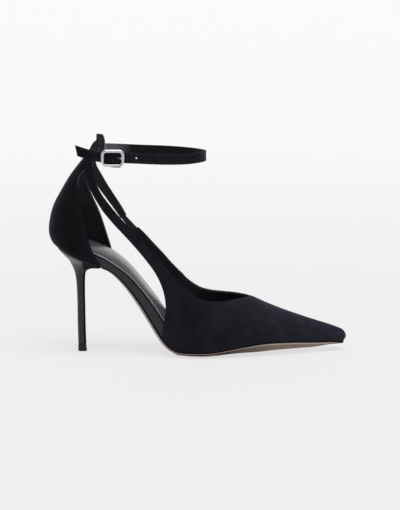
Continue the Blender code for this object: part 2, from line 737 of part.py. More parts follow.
def make_ankle_strap(root, parts, cutters):
    strap = add_part("ankle_strap", slab("ankle_strap", STRAP_STEPS, 1, ankle_point), root, parts)
    holes = (("spare_hole", SPARE_HOLE_X, HOLE_RADIUS), ("prong_hole", PRONG_HOLE_X, PRONG_HOLE_RADIUS))
    for name, x, radius in holes:
        bm = bmesh.new()
        bmesh.ops.create_cone(bm, cap_ends=True, segments=HOLE_SIDES, radius1=radius * MM,
                              radius2=radius * MM, depth=HOLE_DEPTH * MM)
        mesh = bpy.data.meshes.new(name)
        bm.to_mesh(mesh)
        bm.free()
        hole = add_cutter(name, mesh, root, cutters)
        hole.rotation_euler = (math.pi / 2, 0.0, 0.0)
        hole.location = Vector((x, HOLE_Y, HOLE_Z)) * MM
        boolean(strap, hole, 'DIFFERENCE')


def make_back_loop(root, parts, cutters):
    """Folded tab on the neck with a slot for the ankle strap."""
    steps = len(LOOP) - 1

    def place(u, v, w):
        z, back_x, front_x = LOOP[round(u * steps)]
        return (back_x + (front_x - back_x) * w, LOOP_WIDTH * (v - 0.5), z)

    loop = add_part("back_loop", slab("back_loop", steps, LOOP_ACROSS, place), root, parts)
    bm = bmesh.new()
    bmesh.ops.create_cube(bm, size=1.0)
    mesh = bpy.data.meshes.new("strap_slot")
    bm.to_mesh(mesh)
    bm.free()
    slot = add_cutter("strap_slot", mesh, root, cutters)
    slot.location = Vector((SLOT_BACK_X + SLOT_FRONT_X, 0.0, SLOT_LOW_Z + SLOT_TOP_Z)) * 0.5 * MM
    slot.scale = Vector((SLOT_FRONT_X - SLOT_BACK_X, 2 * LOOP_WIDTH, SLOT_TOP_Z - SLOT_LOW_Z)) * MM
    boolean(loop, slot, 'DIFFERENCE')


def wire(name, points, radius, closed):
    """Round wire along straight runs, as a closed mesh."""
    curve = bpy.data.curves.new(name, 'CURVE')
    curve.dimensions = '3D'
    curve.bevel_depth = radius * MM
    curve.bevel_resolution = 2
    curve.use_fill_caps = not closed
    spline = curve.splines.new('POLY')
    spline.points.add(len(points) - 1)
    for point, place in zip(spline.points, points):
        point.co = (*(Vector(place) * MM), 1.0)
    spline.use_cyclic_u = closed
    source = bpy.data.objects.new(name + "_path", curve)
    bpy.context.scene.collection.objects.link(source)
    depsgraph = bpy.context.evaluated_depsgraph_get()
    mesh = bpy.data.meshes.new_from_object(source.evaluated_get(depsgraph))
    bpy.data.objects.remove(source)
    bm = bmesh.new()
    bm.from_mesh(mesh)
    bmesh.ops.remove_doubles(bm, verts=bm.verts, dist=WELD * MM)
    bmesh.ops.recalc_face_normals(bm, faces=bm.faces)
    bm.to_mesh(mesh)
    bm.free()
    return mesh


def rounded_frame():
    """Middle line of the buckle's frame: a rectangle with round corners."""
    points = []
    reach_x = BUCKLE_LENGTH / 2 - BUCKLE_CORNER
    reach_z = BUCKLE_HEIGHT / 2 - BUCKLE_CORNER
    for corner, (sign_x, sign_z) in enumerate(((1, 1), (-1, 1), (-1, -1), (1, -1))):
        for k in range(CORNER_STEPS + 1):
            angle = math.pi / 2 * (corner + k / CORNER_STEPS)
            x = BUCKLE_X + sign_x * reach_x + BUCKLE_CORNER * math.cos(angle)
            z = BUCKLE_Z + sign_z * reach_z + BUCKLE_CORNER * math.sin(angle)
            points.append((x, BUCKLE_Y, z))
    return points


def make_buckle(root, parts, cutters):
    frame = add_part("buckle_frame", wire("buckle_frame", rounded_frame(), BUCKLE_WIRE, True), root, parts)
    half = BUCKLE_HEIGHT / 2
    end_y = BUCKLE_Y + BAR_SINK
    bar_path = ((BUCKLE_X, end_y, BUCKLE_Z + half), (BUCKLE_X, BAR_Y, BUCKLE_Z + half),
                (BUCKLE_X, BAR_Y, BUCKLE_Z - half), (BUCKLE_X, end_y, BUCKLE_Z - half))
    bar = add_cutter("buckle_bar", wire("buckle_bar", bar_path, BAR_WIRE, False), root, cutters)
    boolean(frame, bar, 'UNION')
    prong_path = [(*through(PRONG, k / PRONG_STEPS), BUCKLE_Z) for k in range(PRONG_STEPS + 1)]
    add_part("buckle_prong", wire("buckle_prong", prong_path, PRONG_WIRE, False), root, parts)


def centre_on_floor(root, parts):
    """Put the origin on the floor under the middle of the whole shoe."""
    bpy.context.view_layer.update()
    depsgraph = bpy.context.evaluated_depsgraph_get()
    corners = np.array([part.matrix_world @ Vector(corner) for part in parts.objects
                        for corner in part.evaluated_get(depsgraph).bound_box])
    low, high = corners.min(axis=0), corners.max(axis=0)
    middle = (low + high) / 2
    root.location = (-middle[0], -middle[1], -low[2])


def main():
    for item in list(bpy.data.objects):
        bpy.data.objects.remove(item, do_unlink=True)
    parts = make_collection(NAME)
    cutters = make_collection(NAME + "_cutters")
    root = bpy.data.objects.new(NAME + "_root", None)
    bpy.context.scene.collection.objects.link(root)
    make_outsole(root, parts)
    make_insole(root, parts)
    make_upper(root, parts, cutters)
    make_elastic(root, parts)
    make_heel(root, parts)
    make_ankle_strap(root, parts, cutters)
    make_back_loop(root, parts, cutters)
    make_buckle(root, parts, cutters)
    centre_on_floor(root, parts)


main()
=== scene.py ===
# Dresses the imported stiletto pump: suede upper and straps, satin sock and heel, tan sole, silver buckle.
# Table sizes are in millimetres, x from the back of the counter to the toe, -y to the lateral side, z up.
import math

import bmesh
import bpy
import numpy as np
from mathutils import Matrix, Vector


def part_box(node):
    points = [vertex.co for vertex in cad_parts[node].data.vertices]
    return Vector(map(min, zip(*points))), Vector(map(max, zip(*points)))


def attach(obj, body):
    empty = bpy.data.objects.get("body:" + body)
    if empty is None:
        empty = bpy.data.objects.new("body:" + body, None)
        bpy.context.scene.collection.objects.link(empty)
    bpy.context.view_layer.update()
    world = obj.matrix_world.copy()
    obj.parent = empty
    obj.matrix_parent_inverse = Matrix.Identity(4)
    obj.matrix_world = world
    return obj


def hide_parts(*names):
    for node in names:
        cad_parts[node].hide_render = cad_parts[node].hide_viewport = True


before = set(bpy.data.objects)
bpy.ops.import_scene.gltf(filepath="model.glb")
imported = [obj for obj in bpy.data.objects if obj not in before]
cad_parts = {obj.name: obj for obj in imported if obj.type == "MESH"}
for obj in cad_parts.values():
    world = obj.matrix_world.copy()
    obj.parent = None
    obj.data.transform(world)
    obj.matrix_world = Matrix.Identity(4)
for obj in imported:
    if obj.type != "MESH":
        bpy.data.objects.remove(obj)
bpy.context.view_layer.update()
print("frame loaded,", len(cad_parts), "nodes")

mm = 0.001
lateral = -1
medial = 1

# the last that all pieces are built round: plan at the featherline, and heights along the shoe
lastShape = {
    "outline": (  # x, lateral y, medial y
        (6.0, 0.0, 0.0), (8.4, -10.5, 10.5), (15.5, -19.6, 19.6), (27.0, -25.3, 25.3),
        (41.0, -25.9, 25.7), (55.0, -25.2, 24.4), (69.0, -25.0, 23.8), (83.0, -26.8, 25.0),
        (97.0, -31.0, 28.8), (111.0, -35.2, 33.2), (125.0, -37.4, 36.2), (139.0, -36.8, 37.4),
        (153.0, -34.4, 36.9), (169.0, -30.0, 34.6), (185.0, -24.6, 31.4), (201.0, -18.8, 27.4),
        (217.0, -12.4, 23.0), (231.0, -6.2, 18.6), (241.0, -1.0, 14.4), (245.4, 2.8, 11.0),
        (246.6, 7.0, 7.0),
    ),
    "profile": (  # x, top of sole and heel, lowest line of the sole, top of the sock, rise at the arch
        (0.0, 90.9, 88.5, 95.8, 0.6), (8.0, 87.8, 85.4, 94.2, 1.0), (26.0, 80.75, 78.4, 90.2, 2.2),
        (44.6, 73.45, 71.1, 83.4, 2.8), (52.0, 69.9, 67.1, 78.9, 3.3), (60.0, 63.2, 60.1, 73.4, 2.9),
        (68.0, 54.3, 50.8, 66.8, 1.9), (76.0, 43.5, 39.6, 58.0, 1.0), (84.0, 31.0, 26.8, 47.9, 0.8),
        (90.0, 21.2, 17.2, 39.7, 0.7), (96.0, 12.6, 9.3, 30.6, 0.4), (102.0, 7.2, 3.6, 22.8, 0.1),
        (108.0, 4.9, 0.0, 16.8, 0.0), (116.0, 4.5, 0.0, 12.6, 0.0), (127.0, 4.55, 0.0, 9.9, 0.0),
        (138.0, 5.35, 0.0, 10.1, 0.0), (150.0, 7.2, 0.8, 11.4, 0.0), (165.0, 9.4, 2.2, 13.2, 0.0),
        (183.0, 10.95, 3.8, 14.4, 0.0), (201.0, 10.55, 4.7, 13.7, 0.0), (221.0, 9.2, 5.2, 12.0, 0.0),
        (236.0, 8.4, 5.5, 11.0, 0.0), (248.0, 7.7, 5.6, 10.2, 0.0),
    ),
    "gap": 0.3,
    "wall": 1.8,
    "bendX": 94.0,
    "bendMesh": (1.5, 26.0),   # how much closer the mesh lies at the bend, and over what length
    "endMesh": (4.0, 4.0),     # the same for heel and toe
    "endFace": 0.006,
    "buckleX": 54.9,
    "samples": 801,
}
seatColumn, underColumn, sockColumn, archColumn = 1, 2, 3, 4

# the frame's own buckle and loop tell where the tables' zero lies
buckleLow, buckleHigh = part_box("buckle_frame")
loopLow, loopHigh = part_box("back_loop")
tableShift = Vector((
    (buckleLow.x + buckleHigh.x) / 2 - lastShape["buckleX"] * mm,
    (loopLow.y + loopHigh.y) / 2,
    0.0,
))


def toFrame(point):
    return Vector(point) * mm + tableShift


def curveSpot(before, a, b, after, f):
    bend = 2 * before - 5 * a + 4 * b - after
    twist = -before + 3 * a - 3 * b + after
    return a + 0.5 * f * ((b - before) + f * (bend + f * twist))


def through(rows, u):  # smooth curve through a table, u from 0 at its first row to 1 at its last
    rows = np.asarray(rows, dtype=float)
    last = len(rows) - 1
    place = min(max(u, 0.0), 1.0) * last
    i = min(int(place), last - 1)
    before = rows[i - 1] if i > 0 else 2 * rows[0] - rows[1]
    after = rows[i + 2] if i + 2 <= last else 2 * rows[last] - rows[last - 1]
    return curveSpot(before, rows[i], rows[i + 1], after, place - i)


def ease(share):
    share = min(max(share, 0.0), 1.0)
    return share * share * (3 - 2 * share)


def unit(way):
    return way / np.linalg.norm(way)


def pathLength(path, steps=200):
    points = [path(k / steps) for k in range(steps + 1)]
    return sum(np.linalg.norm(b - a) for a, b in zip(points, points[1:]))


profileRows = np.array(lastShape["profile"])
profileX = profileRows[:, 0]


def gentleSlopes(column):
    slopes = np.diff(profileRows[:, column]) / np.diff(profileX)
    made = np.zeros(len(profileX))
    made[0], made[-1] = slopes[0], slopes[-1]
    for k in range(1, len(profileX) - 1):
        if slopes[k - 1] * slopes[k] > 0:
            made[k] = 2 * slopes[k - 1] * slopes[k] / (slopes[k - 1] + slopes[k])
    return made


profileSlopes = [gentleSlopes(column) for column in range(profileRows.shape[1])]


def heightAt(column, x):
    i = int(np.clip(np.searchsorted(profileX, x) - 1, 0, len(profileX) - 2))
    step = profileX[i + 1] - profileX[i]
    f = (min(max(x, profileX[0]), profileX[-1]) - profileX[i]) / step
    a, b = profileRows[i, column], profileRows[i + 1, column]
    slopes = profileSlopes[column]
    hold = (1 + 2 * f) * (1 - f) ** 2 * a + f * f * (3 - 2 * f) * b
    return hold + step * f * (1 - f) * ((1 - f) * slopes[i] - f * slopes[i + 1])


outlineRing = np.array(
    [(row[0], row[1]) for row in lastShape["outline"]]
    + [(row[0], row[2]) for row in lastShape["outline"][-2:0:-1]]
)


def ringSpot(place):
    i = math.floor(place)
    return curveSpot(*(outlineRing[(i + k) % len(outlineRing)] for k in (-1, 0, 1, 2)), place - i)


def planEdge(side, t, inset):  # t is 0 at the heel and 1 at the toe, inset moves in from the featherline
    nudge = 0.01
    place = t * (len(lastShape["outline"]) - 1) * (-1 if side == medial else 1)
    ahead = unit(ringSpot(place + nudge) - ringSpot(place - nudge))
    return ringSpot(place) + inset * np.array((-ahead[1], ahead[0]))


def planSpot(inset, t, v):  # v is 0 on the lateral edge and 1 on the medial edge
    return planEdge(lateral, t, inset) * (1 - v) + planEdge(medial, t, inset) * v


shares = np.linspace(0.0, 1.0, lastShape["samples"])
featherLines = {side: np.array([planEdge(side, t, 0.0) for t in shares]) for side in (lateral, medial)}


def featherY(side, x):
    return float(np.interp(x, featherLines[side][:, 0], featherLines[side][:, 1]))


def soleStations(steps):  # places along the outline, closer at its round ends and behind the ball
    ts = np.linspace(lastShape["endFace"], 1 - lastShape["endFace"], lastShape["samples"])
    xs = np.interp(ts, shares, featherLines[lateral][:, 0])
    closer, reach = lastShape["bendMesh"]
    bend = closer * np.exp(-((xs - lastShape["bendX"]) / reach) ** 2)
    closer, reach = lastShape["endMesh"]
    ends = closer * (np.exp((xs[0] - xs) / reach) + np.exp((xs - xs[-1]) / reach))
    weight = np.cumsum((1 + bend + ends) * np.gradient(xs))
    weight = (weight - weight[0]) / (weight[-1] - weight[0])
    return np.interp(np.linspace(0.0, 1.0, steps + 1), weight, ts)


# mesh helpers


def gridSpots(verts):  # where a new grid's vertices lie along and across it, from 0 to 1
    return {vert: (vert.co.x + 0.5, vert.co.y + 0.5) for vert in verts}


def facesOf(verts):
    return list({face for vert in verts for face in vert.link_faces})


def layGrid(bm, steps, across, place, outward=None, slot=0):
    verts = bmesh.ops.create_grid(bm, x_segments=steps, y_segments=across, size=0.5)["verts"]
    spots = gridSpots(verts)
    faces = facesOf(verts)
    uvMap = bm.loops.layers.uv.verify()
    for face in faces:
        face.material_index = slot
        for loop in face.loops:
            loop[uvMap].uv = spots[loop.vert]
    for vert, (u, v) in spots.items():
        vert.co = toFrame(place(u, v))
    for face in faces:
        face.normal_update()
    if outward and sum(face.normal.dot(Vector(outward)) for face in faces) < 0:
        bmesh.ops.reverse_faces(bm, faces=faces)
    return spots


def raiseSheet(bm, spots, relief):  # moves a laid sheet out and in along its own normals
    bm.normal_update()
    moves = {vert: vert.normal * relief(u, v) * mm for vert, (u, v) in spots.items()}
    for vert, move in moves.items():
        vert.co += move


def layBlock(bm, steps, across, place, topSlot=0, cut=None):
    # solid between two grids: place takes u along, v across and w, 0 below and 1 above
    rise = bm.verts.layers.float.new("rise")
    verts = bmesh.ops.create_grid(bm, x_segments=steps, y_segments=across, size=0.5)["verts"]
    if cut:
        middles = {face: face.calc_center_median().xy + Vector((0.5, 0.5)) for face in facesOf(verts)}
        holes = [face for face, middle in middles.items() if cut(*middle)]
        bmesh.ops.delete(bm, geom=holes, context='FACES')
        verts = [vert for vert in verts if vert.is_valid]
    spots = gridSpots(verts)
    raised = bmesh.ops.extrude_face_region(bm, geom=facesOf(verts))["geom"]
    topVerts = {item for item in raised if isinstance(item, bmesh.types.BMVert)}
    topFaces = {item for item in raised if isinstance(item, bmesh.types.BMFace)}
    topSpots = gridSpots(topVerts)
    for vert, (u, v) in spots.items():
        vert.co = toFrame(place(u, v, 0.0))
        vert[rise] = 0.0
    for vert, (u, v) in topSpots.items():
        vert.co = toFrame(place(u, v, 1.0))
        vert[rise] = 1.0
    for face in facesOf(topVerts):
        face.material_index = topSlot if face in topFaces else 0


def layTube(bm, steps, around, path, flat, radius, closed=False, slot=0):
    # round wire along path(u), which lies in the plane across flat; open ends are domed
    flat = np.array(flat)
    nudge = 0.002
    length = pathLength(path)

    def place(u, v):
        ahead = path((u + nudge) % 1.0 if closed else min(u + nudge, 1.0))
        behind = path((u - nudge) % 1.0 if closed else max(u - nudge, 0.0))
        side = np.cross(unit(ahead - behind), flat)
        reach = radius(path(u)) if callable(radius) else radius
        if not closed:
            fromEnd = min(u, 1 - u) * length
            reach *= math.sqrt(1 - max(0.0, 1 - fromEnd / radius) ** 2)
        angle = 2 * math.pi * v
        return path(u) + reach * (math.cos(angle) * flat + math.sin(angle) * side)

    layGrid(bm, steps, around, place, slot=slot)


def runLengths(points):  # how far along a chain of points each one lies
    return np.concatenate(((0.0,), np.cumsum(np.linalg.norm(np.diff(points, axis=0), axis=1))))


def spotAlong(at, runs, points):
    return np.array([np.interp(at, runs, points[:, axis]) for axis in range(3)])


def polyPath(points, closed=False):
    points = np.array(list(points) + ([points[0]] if closed else []), dtype=float)
    runs = runLengths(points)

    def path(u):
        return spotAlong(u * runs[-1], runs, points)

    return path


def weldVerts(bm, distance=0.02):
    bmesh.ops.remove_doubles(bm, verts=bm.verts, dist=distance * mm)


def closeUp(bm, distance=0.02):
    weldVerts(bm, distance)
    bmesh.ops.recalc_face_normals(bm, faces=bm.faces)


def capEnds(bm, distance=0.01):
    weldVerts(bm, distance)
    bmesh.ops.holes_fill(bm, edges=bm.edges, sides=0)
    bmesh.ops.recalc_face_normals(bm, faces=bm.faces)


def linkMesh(name, bm):
    mesh = bpy.data.meshes.new(name)
    bm.to_mesh(mesh)
    bm.free()
    thing = bpy.data.objects.new(name, mesh)
    bpy.context.scene.collection.objects.link(thing)
    return thing


def addPiece(name, bm, materials, slot, *replaced):
    piece = linkMesh(name, bm)
    for material in materials:
        piece.data.materials.append(material)
    piece.data.shade_smooth()
    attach(piece, "root")
    if replaced:
        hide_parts(*replaced)
    print(name, len(piece.data.polygons), "faces")
    return piece


def roundEdges(piece, width, segments=3, angle=40):
    bevel = piece.modifiers.new("roundEdges", 'BEVEL')
    bevel.width = width * mm
    bevel.segments = segments
    bevel.limit_method = 'ANGLE'
    bevel.angle_limit = math.radians(angle)
    bevel.harden_normals = False


def thicken(piece, wall, rimSlot, innerSlot):
    solid = piece.modifiers.new("wall", 'SOLIDIFY')
    solid.thickness = wall * mm
    solid.offset = -1.0
    solid.material_offset = innerSlot
    solid.material_offset_rim = rimSlot


threadLook = {"pitch": 2.5, "halfLength": 0.85, "halfWidth": 0.21, "halfHeight": 0.17, "sink": 0.04,
              "turnStep": 0.4, "sides": 6, "rings": 4}


def sewLine(bm, spot, samples=500, pitch=threadLook["pitch"]):
    # spot(t) gives a point on the leather and the way out of it; one small thread end for each stitch
    laid = [spot(k / samples) for k in range(samples + 1)]
    points = np.array([point for point, _ in laid])
    outs = np.array([out for _, out in laid])
    runs = runLengths(points)
    step = threadLook["turnStep"]
    count = int(runs[-1] / pitch)
    for k in range(count):
        at = (k + 0.5) * runs[-1] / count
        here, out = spotAlong(at, runs, points), spotAlong(at, runs, outs)
        way = unit(spotAlong(at + step, runs, points) - spotAlong(at - step, runs, points))
        out = unit(out - way * out.dot(way))
        lift = threadLook["halfHeight"] - threadLook["sink"]
        turn = Matrix((way, np.cross(out, way), out)).transposed().to_4x4()
        sizes = (threadLook["halfLength"], threadLook["halfWidth"], threadLook["halfHeight"])
        shape = Matrix.Diagonal(Vector(sizes) * mm).to_4x4()
        place = Matrix.Translation(toFrame(here + out * lift))
        bmesh.ops.create_uvsphere(bm, u_segments=threadLook["sides"], v_segments=threadLook["rings"],
                                  radius=1.0, matrix=place @ turn @ shape)


def surfaceSpot(place, u, v, outward):
    nudge = 0.002
    along = place(min(u + nudge, 1.0), v) - place(max(u - nudge, 0.0), v)
    across = place(u, min(v + nudge, 1.0)) - place(u, max(v - nudge, 0.0))
    out = unit(np.cross(along, across))
    return place(u, v), out * math.copysign(1.0, out.dot(np.array(outward)))


# finishes


def makeGroup(name, inputs, outputs):
    group = bpy.data.node_groups.new(name, 'ShaderNodeTree')
    for socket, kind in inputs:
        group.interface.new_socket(name=socket, in_out='INPUT', socket_type=kind)
    for socket, kind in outputs:
        group.interface.new_socket(name=socket, in_out='OUTPUT', socket_type=kind)
    return group, group.nodes.new('NodeGroupInput'), group.nodes.new('NodeGroupOutput')


def addNoise(group, vector, scale, detail, roughness):
    noise = group.nodes.new('ShaderNodeTexNoise')
    noise.inputs["Detail"].default_value = detail
    noise.inputs["Roughness"].default_value = roughness
    group.links.new(vector, noise.inputs["Vector"])
    group.links.new(scale, noise.inputs["Scale"])
    return noise.outputs["Fac"]


def addMath(group, operation, a, b):
    node = group.nodes.new('ShaderNodeMath')
    node.operation = operation
    for socket, value in zip(node.inputs, (a, b)):
        if isinstance(value, (int, float)):
            socket.default_value = value
        else:
            group.links.new(value, socket)
    return node.outputs["Value"]


def addRange(group, value, low, high, toLow, toHigh):
    node = group.nodes.new('ShaderNodeMapRange')
    for socket, number in zip(("From Min", "From Max", "To Min", "To Max"), (low, high, toLow, toHigh)):
        if isinstance(number, (int, float)):
            node.inputs[socket].default_value = number
        else:
            group.links.new(number, node.inputs[socket])
    group.links.new(value, node.inputs["Value"])
    return node.outputs["Result"]


def addBlend(group, share, a, b):
    node = group.nodes.new('ShaderNodeMix')
    node.data_type = 'RGBA'
    group.links.new(share, node.inputs["Factor"])
    colours = [socket for socket in node.inputs if socket.type == 'RGBA']
    for socket, value in zip(colours, (a, b)):
        if isinstance(value, tuple):
            socket.default_value = value
        else:
            group.links.new(value, socket)
    return [socket for socket in node.outputs if socket.type == 'RGBA'][0]


floatSocket, colourSocket, vectorSocket = 'NodeSocketFloat', 'NodeSocketColor', 'NodeSocketVector'
finishInputs = (("Vector", vectorSocket), ("Dark", colourSocket), ("Light", colourSocket))
finishOutputs = (("Color", colourSocket), ("Roughness", floatSocket), ("Height", floatSocket))
napInputs = ("Patch Scale", "Fibre Scale", "Tooth Scale")
grainInputs = ("Pore Scale", "Patch Scale", "Low Roughness", "High Roughness")
napLook = {"patches": (3.0, 0.55), "fibres": (4.0, 0.65), "tooth": (2.0, 0.5),   # detail and roughness
           "cloud": (0.3, 0.7, 0.0, 0.6), "speck": (0.3, 0.75, 0.0, 0.4), "gloss": (0.2, 0.8, 0.86, 1.0),
           "coarse": 0.7, "fine": 0.3, "sheenRoughness": 0.4}
grainLook = {"patches": (4.0, 0.6), "tone": (0.3, 0.7), "pores": (0.0, 0.7)}


def makeNap():  # brushed suede: cloudy patches, short fibres and a fine tooth
    inputs = finishInputs + tuple((name, floatSocket) for name in napInputs)
    group, entry, leave = makeGroup("suedeNap", inputs, finishOutputs)
    given = entry.outputs
    patches = addNoise(group, given["Vector"], given["Patch Scale"], *napLook["patches"])
    fibres = addNoise(group, given["Vector"], given["Fibre Scale"], *napLook["fibres"])
    tooth = addNoise(group, given["Vector"], given["Tooth Scale"], *napLook["tooth"])
    cloud = addRange(group, patches, *napLook["cloud"])
    speck = addRange(group, fibres, *napLook["speck"])
    tone = addMath(group, 'ADD', cloud, speck)
    coarse = addMath(group, 'MULTIPLY', fibres, napLook["coarse"])
    fine = addMath(group, 'MULTIPLY', tooth, napLook["fine"])
    group.links.new(addBlend(group, tone, given["Dark"], given["Light"]), leave.inputs["Color"])
    group.links.new(addRange(group, fibres, *napLook["gloss"]), leave.inputs["Roughness"])
    group.links.new(addMath(group, 'ADD', coarse, fine), leave.inputs["Height"])
    return group


def makeGrain():  # smooth leather: small closed pores with a broad change of gloss
    inputs = finishInputs + tuple((name, floatSocket) for name in grainInputs)
    group, entry, leave = makeGroup("leatherGrain", inputs, finishOutputs)
    given = entry.outputs
    pores = group.nodes.new('ShaderNodeTexVoronoi')
    pores.feature = 'SMOOTH_F1'
    group.links.new(given["Vector"], pores.inputs["Vector"])
    group.links.new(given["Pore Scale"], pores.inputs["Scale"])
    patches = addNoise(group, given["Vector"], given["Patch Scale"], *grainLook["patches"])
    tone = addRange(group, patches, *grainLook["tone"], 0.0, 1.0)
    gloss = addRange(group, patches, *grainLook["tone"], given["Low Roughness"], given["High Roughness"])
    height = addRange(group, pores.outputs["Distance"], *grainLook["pores"], 0.0, 1.0)
    group.links.new(addBlend(group, tone, given["Dark"], given["Light"]), leave.inputs["Color"])
    group.links.new(gloss, leave.inputs["Roughness"])
    group.links.new(height, leave.inputs["Height"])
    return group


napGroup = makeNap()
grainGroup = makeGrain()


def newFinish(name, group, values, bump, **sockets):
    # one material: the group gives colour, roughness and relief, the shader's own sockets the rest
    material = bpy.data.materials.new(name)
    material.use_nodes = True
    tree = material.node_tree
    shader = tree.nodes["Principled BSDF"]
    for socket, value in sockets.items():
        shader.inputs[socket].default_value = value
    surface = tree.nodes.new('ShaderNodeGroup')
    surface.node_tree = group
    for socket, value in values.items():
        surface.inputs[socket].default_value = value
    where = tree.nodes.new('ShaderNodeTexCoord')
    tree.links.new(where.outputs["Object"], surface.inputs["Vector"])
    tree.links.new(surface.outputs["Color"], shader.inputs["Base Color"])
    tree.links.new(surface.outputs["Roughness"], shader.inputs["Roughness"])
    relief = tree.nodes.new('ShaderNodeBump')
    relief.inputs["Strength"].default_value = bump[0]
    relief.inputs["Distance"].default_value = bump[1] * mm
    tree.links.new(surface.outputs["Height"], relief.inputs["Height"])
    tree.links.new(relief.outputs["Normal"], shader.inputs["Normal"])
    return material


def napFinish(name, look):
    dark, light, scales, bump, specular, sheen, tint = look
    values = {"Dark": (*dark, 1.0), "Light": (*light, 1.0), **dict(zip(napInputs, scales))}
    return newFinish(name, napGroup, values, bump, **{
        "Specular IOR Level": specular, "Sheen Weight": sheen,
        "Sheen Roughness": napLook["sheenRoughness"], "Sheen Tint": (*tint, 1.0)})


def grainFinish(name, look, **sockets):
    dark, light, scales, bump, specular = look
    values = {"Dark": (*dark, 1.0), "Light": (*light, 1.0), **dict(zip(grainInputs, scales))}
    return newFinish(name, grainGroup, values, bump, **{"Specular IOR Level": specular, **sockets})


def rangeAlong(material, span, first, last):  # goes from first to last between two places along the shoe
    tree = material.node_tree
    spread = tree.nodes.new('ShaderNodeSeparateXYZ')
    where = next(node for node in tree.nodes if node.type == 'TEX_COORD')
    tree.links.new(where.outputs["Object"], spread.inputs["Vector"])
    low, high = (toFrame((x, 0.0, 0.0)).x for x in span)
    return addRange(tree, spread.outputs["X"], low, high, first, last)


def paintLightAndShadeAlong(material, spans):  # painted light and shade: darkens or lightens a finish along the shoe
    tree = material.node_tree
    shader = tree.nodes["Principled BSDF"]
    surface = next(node for node in tree.nodes if node.type == 'GROUP')
    share = 1.0
    for span, first, last in spans:
        share = addMath(tree, 'MULTIPLY', rangeAlong(material, span, first, last), share)
    scale = tree.nodes.new('ShaderNodeVectorMath')
    scale.operation = 'SCALE'
    tree.links.new(surface.outputs["Color"], scale.inputs[0])
    tree.links.new(share, scale.inputs["Scale"])
    tree.links.new(scale.outputs["Vector"], shader.inputs["Base Color"])


def dyeAndPaintedLight(material, colour, low, high, joined=None, value=None):
    # brings in a colour between two values of a piece's rise, 0 at its underside and 1 at its top; it lays
    # real dye and also painted highlights and shade
    tree = material.node_tree
    base = tree.nodes["Principled BSDF"].inputs["Base Color"]
    rise = tree.nodes.new('ShaderNodeAttribute')
    rise.attribute_name = "rise"
    share = addRange(tree, rise.outputs["Fac"], low, high, 0.0, 1.0)
    if joined:
        share = addMath(tree, joined, share, value)
    tree.links.new(addBlend(tree, share, base.links[0].from_socket, colour), base)


finishLook = {
    # suedes: dark, light, scales, bump, specular, sheen and its tint
    "suede": ((0.0022, 0.0021, 0.0046), (0.0134, 0.0130, 0.0200), (70.0, 900.0, 3600.0), (0.55, 0.25),
              0.15, 0.18, (0.56, 0.55, 0.84)),
    "edge": ((0.022, 0.022, 0.027), (0.044, 0.044, 0.052), (150.0, 1200.0, 4000.0), (0.4, 0.2),
             0.3, 0.25, (0.66, 0.67, 0.75)),
    # smooth ones: dark, light, scales with low and high roughness, bump, specular
    "lining": ((0.011, 0.011, 0.015), (0.019, 0.019, 0.024), (1100.0, 60.0, 0.55, 0.7), (0.2, 0.08), 0.22),
    "band": ((0.004, 0.004, 0.006), (0.008, 0.008, 0.011), (1100.0, 120.0, 0.4, 0.52), (0.2, 0.08), 0.15),
    "sock": ((0.034, 0.034, 0.040), (0.050, 0.050, 0.057), (1000.0, 110.0, 0.22, 0.28), (0.22, 0.08), 0.75),
    "board": ((0.028, 0.026, 0.034), (0.042, 0.039, 0.050), (1200.0, 80.0, 0.5, 0.66), (0.25, 0.08), 0.25),
    "heel": ((0.015, 0.015, 0.0175), (0.022, 0.022, 0.0245), (1300.0, 90.0, 0.3, 0.42), (0.15, 0.06), 0.36),
    # breast: matt, and darker as painted shade
    "breast": ((0.004, 0.004, 0.005), (0.007, 0.007, 0.008), (1300.0, 90.0, 0.75, 0.9), (0.15, 0.06), 0.05),
    "rubber": ((0.010, 0.010, 0.011), (0.018, 0.018, 0.019), (2200.0, 400.0, 0.6, 0.8), (0.3, 0.08), 0.4),
    "silver": ((0.62, 0.62, 0.63), (0.74, 0.74, 0.75), (3000.0, 500.0, 0.38, 0.48), (0.05, 0.03), 0.5),
    "thread": ((0.004, 0.004, 0.006), (0.012, 0.012, 0.015), (6000.0, 900.0, 0.4, 0.6), (0.4, 0.06), 0.45),
}
paintedLightAndShadeLook = {  # painted light and shade: two places along the shoe, and the finish's brightness at each
    # suede: painted shade at the back and the tail, painted light towards the toe
    "suede": (((20.0, 62.0), 0.3, 1.25), ((98.0, 122.0), 1.0, 0.66), ((122.0, 235.0), 1.0, 2.3)),
    # lining: painted light at the heel and at the throat, painted shade between
    "lining": (((38.0, 50.0), 1.6, 0.5), ((100.0, 125.0), 1.0, 2.4)),
    # band: a painted highlight near the loop
    "band": (((54.0, 68.0), 18.0, 1.0),),
    # sock: painted highlights at the heel and towards the front
    "sock": (((42.0, 64.0), 2.0, 1.0), ((74.0, 92.0), 1.0, 2.8)),
}
paintedLightLinesLook = {  # painted highlight and shade lines: colour, and the rises where it starts and is full
    "sockEdgeHighlight": ((0.34, 0.335, 0.37, 1.0), 0.97, 0.9),
    "boardTopShadow": ((0.002, 0.002, 0.003, 1.0), 0.82, 0.86),
    "boardFootShade": ((0.004, 0.002, 0.002, 1.0), 0.11, 0.07),
}
suede = napFinish("blackSuede", finishLook["suede"])
foldedEdge = napFinish("foldedEdge", finishLook["edge"])
liningLeather = grainFinish("darkLining", finishLook["lining"])
bandLining = grainFinish("satinBand", finishLook["band"])
sockLeather = grainFinish("satinSock", finishLook["sock"])
boardLeather = grainFinish("wrappedBoard", finishLook["board"])
heelLeather = grainFinish("satinHeel", finishLook["heel"], **{"Coat Weight": 0.05, "Coat Roughness": 0.2})
breastLeatherAndShade = grainFinish("mattBreastAndShade", finishLook["breast"])
tipRubber = grainFinish("mattRubber", finishLook["rubber"])
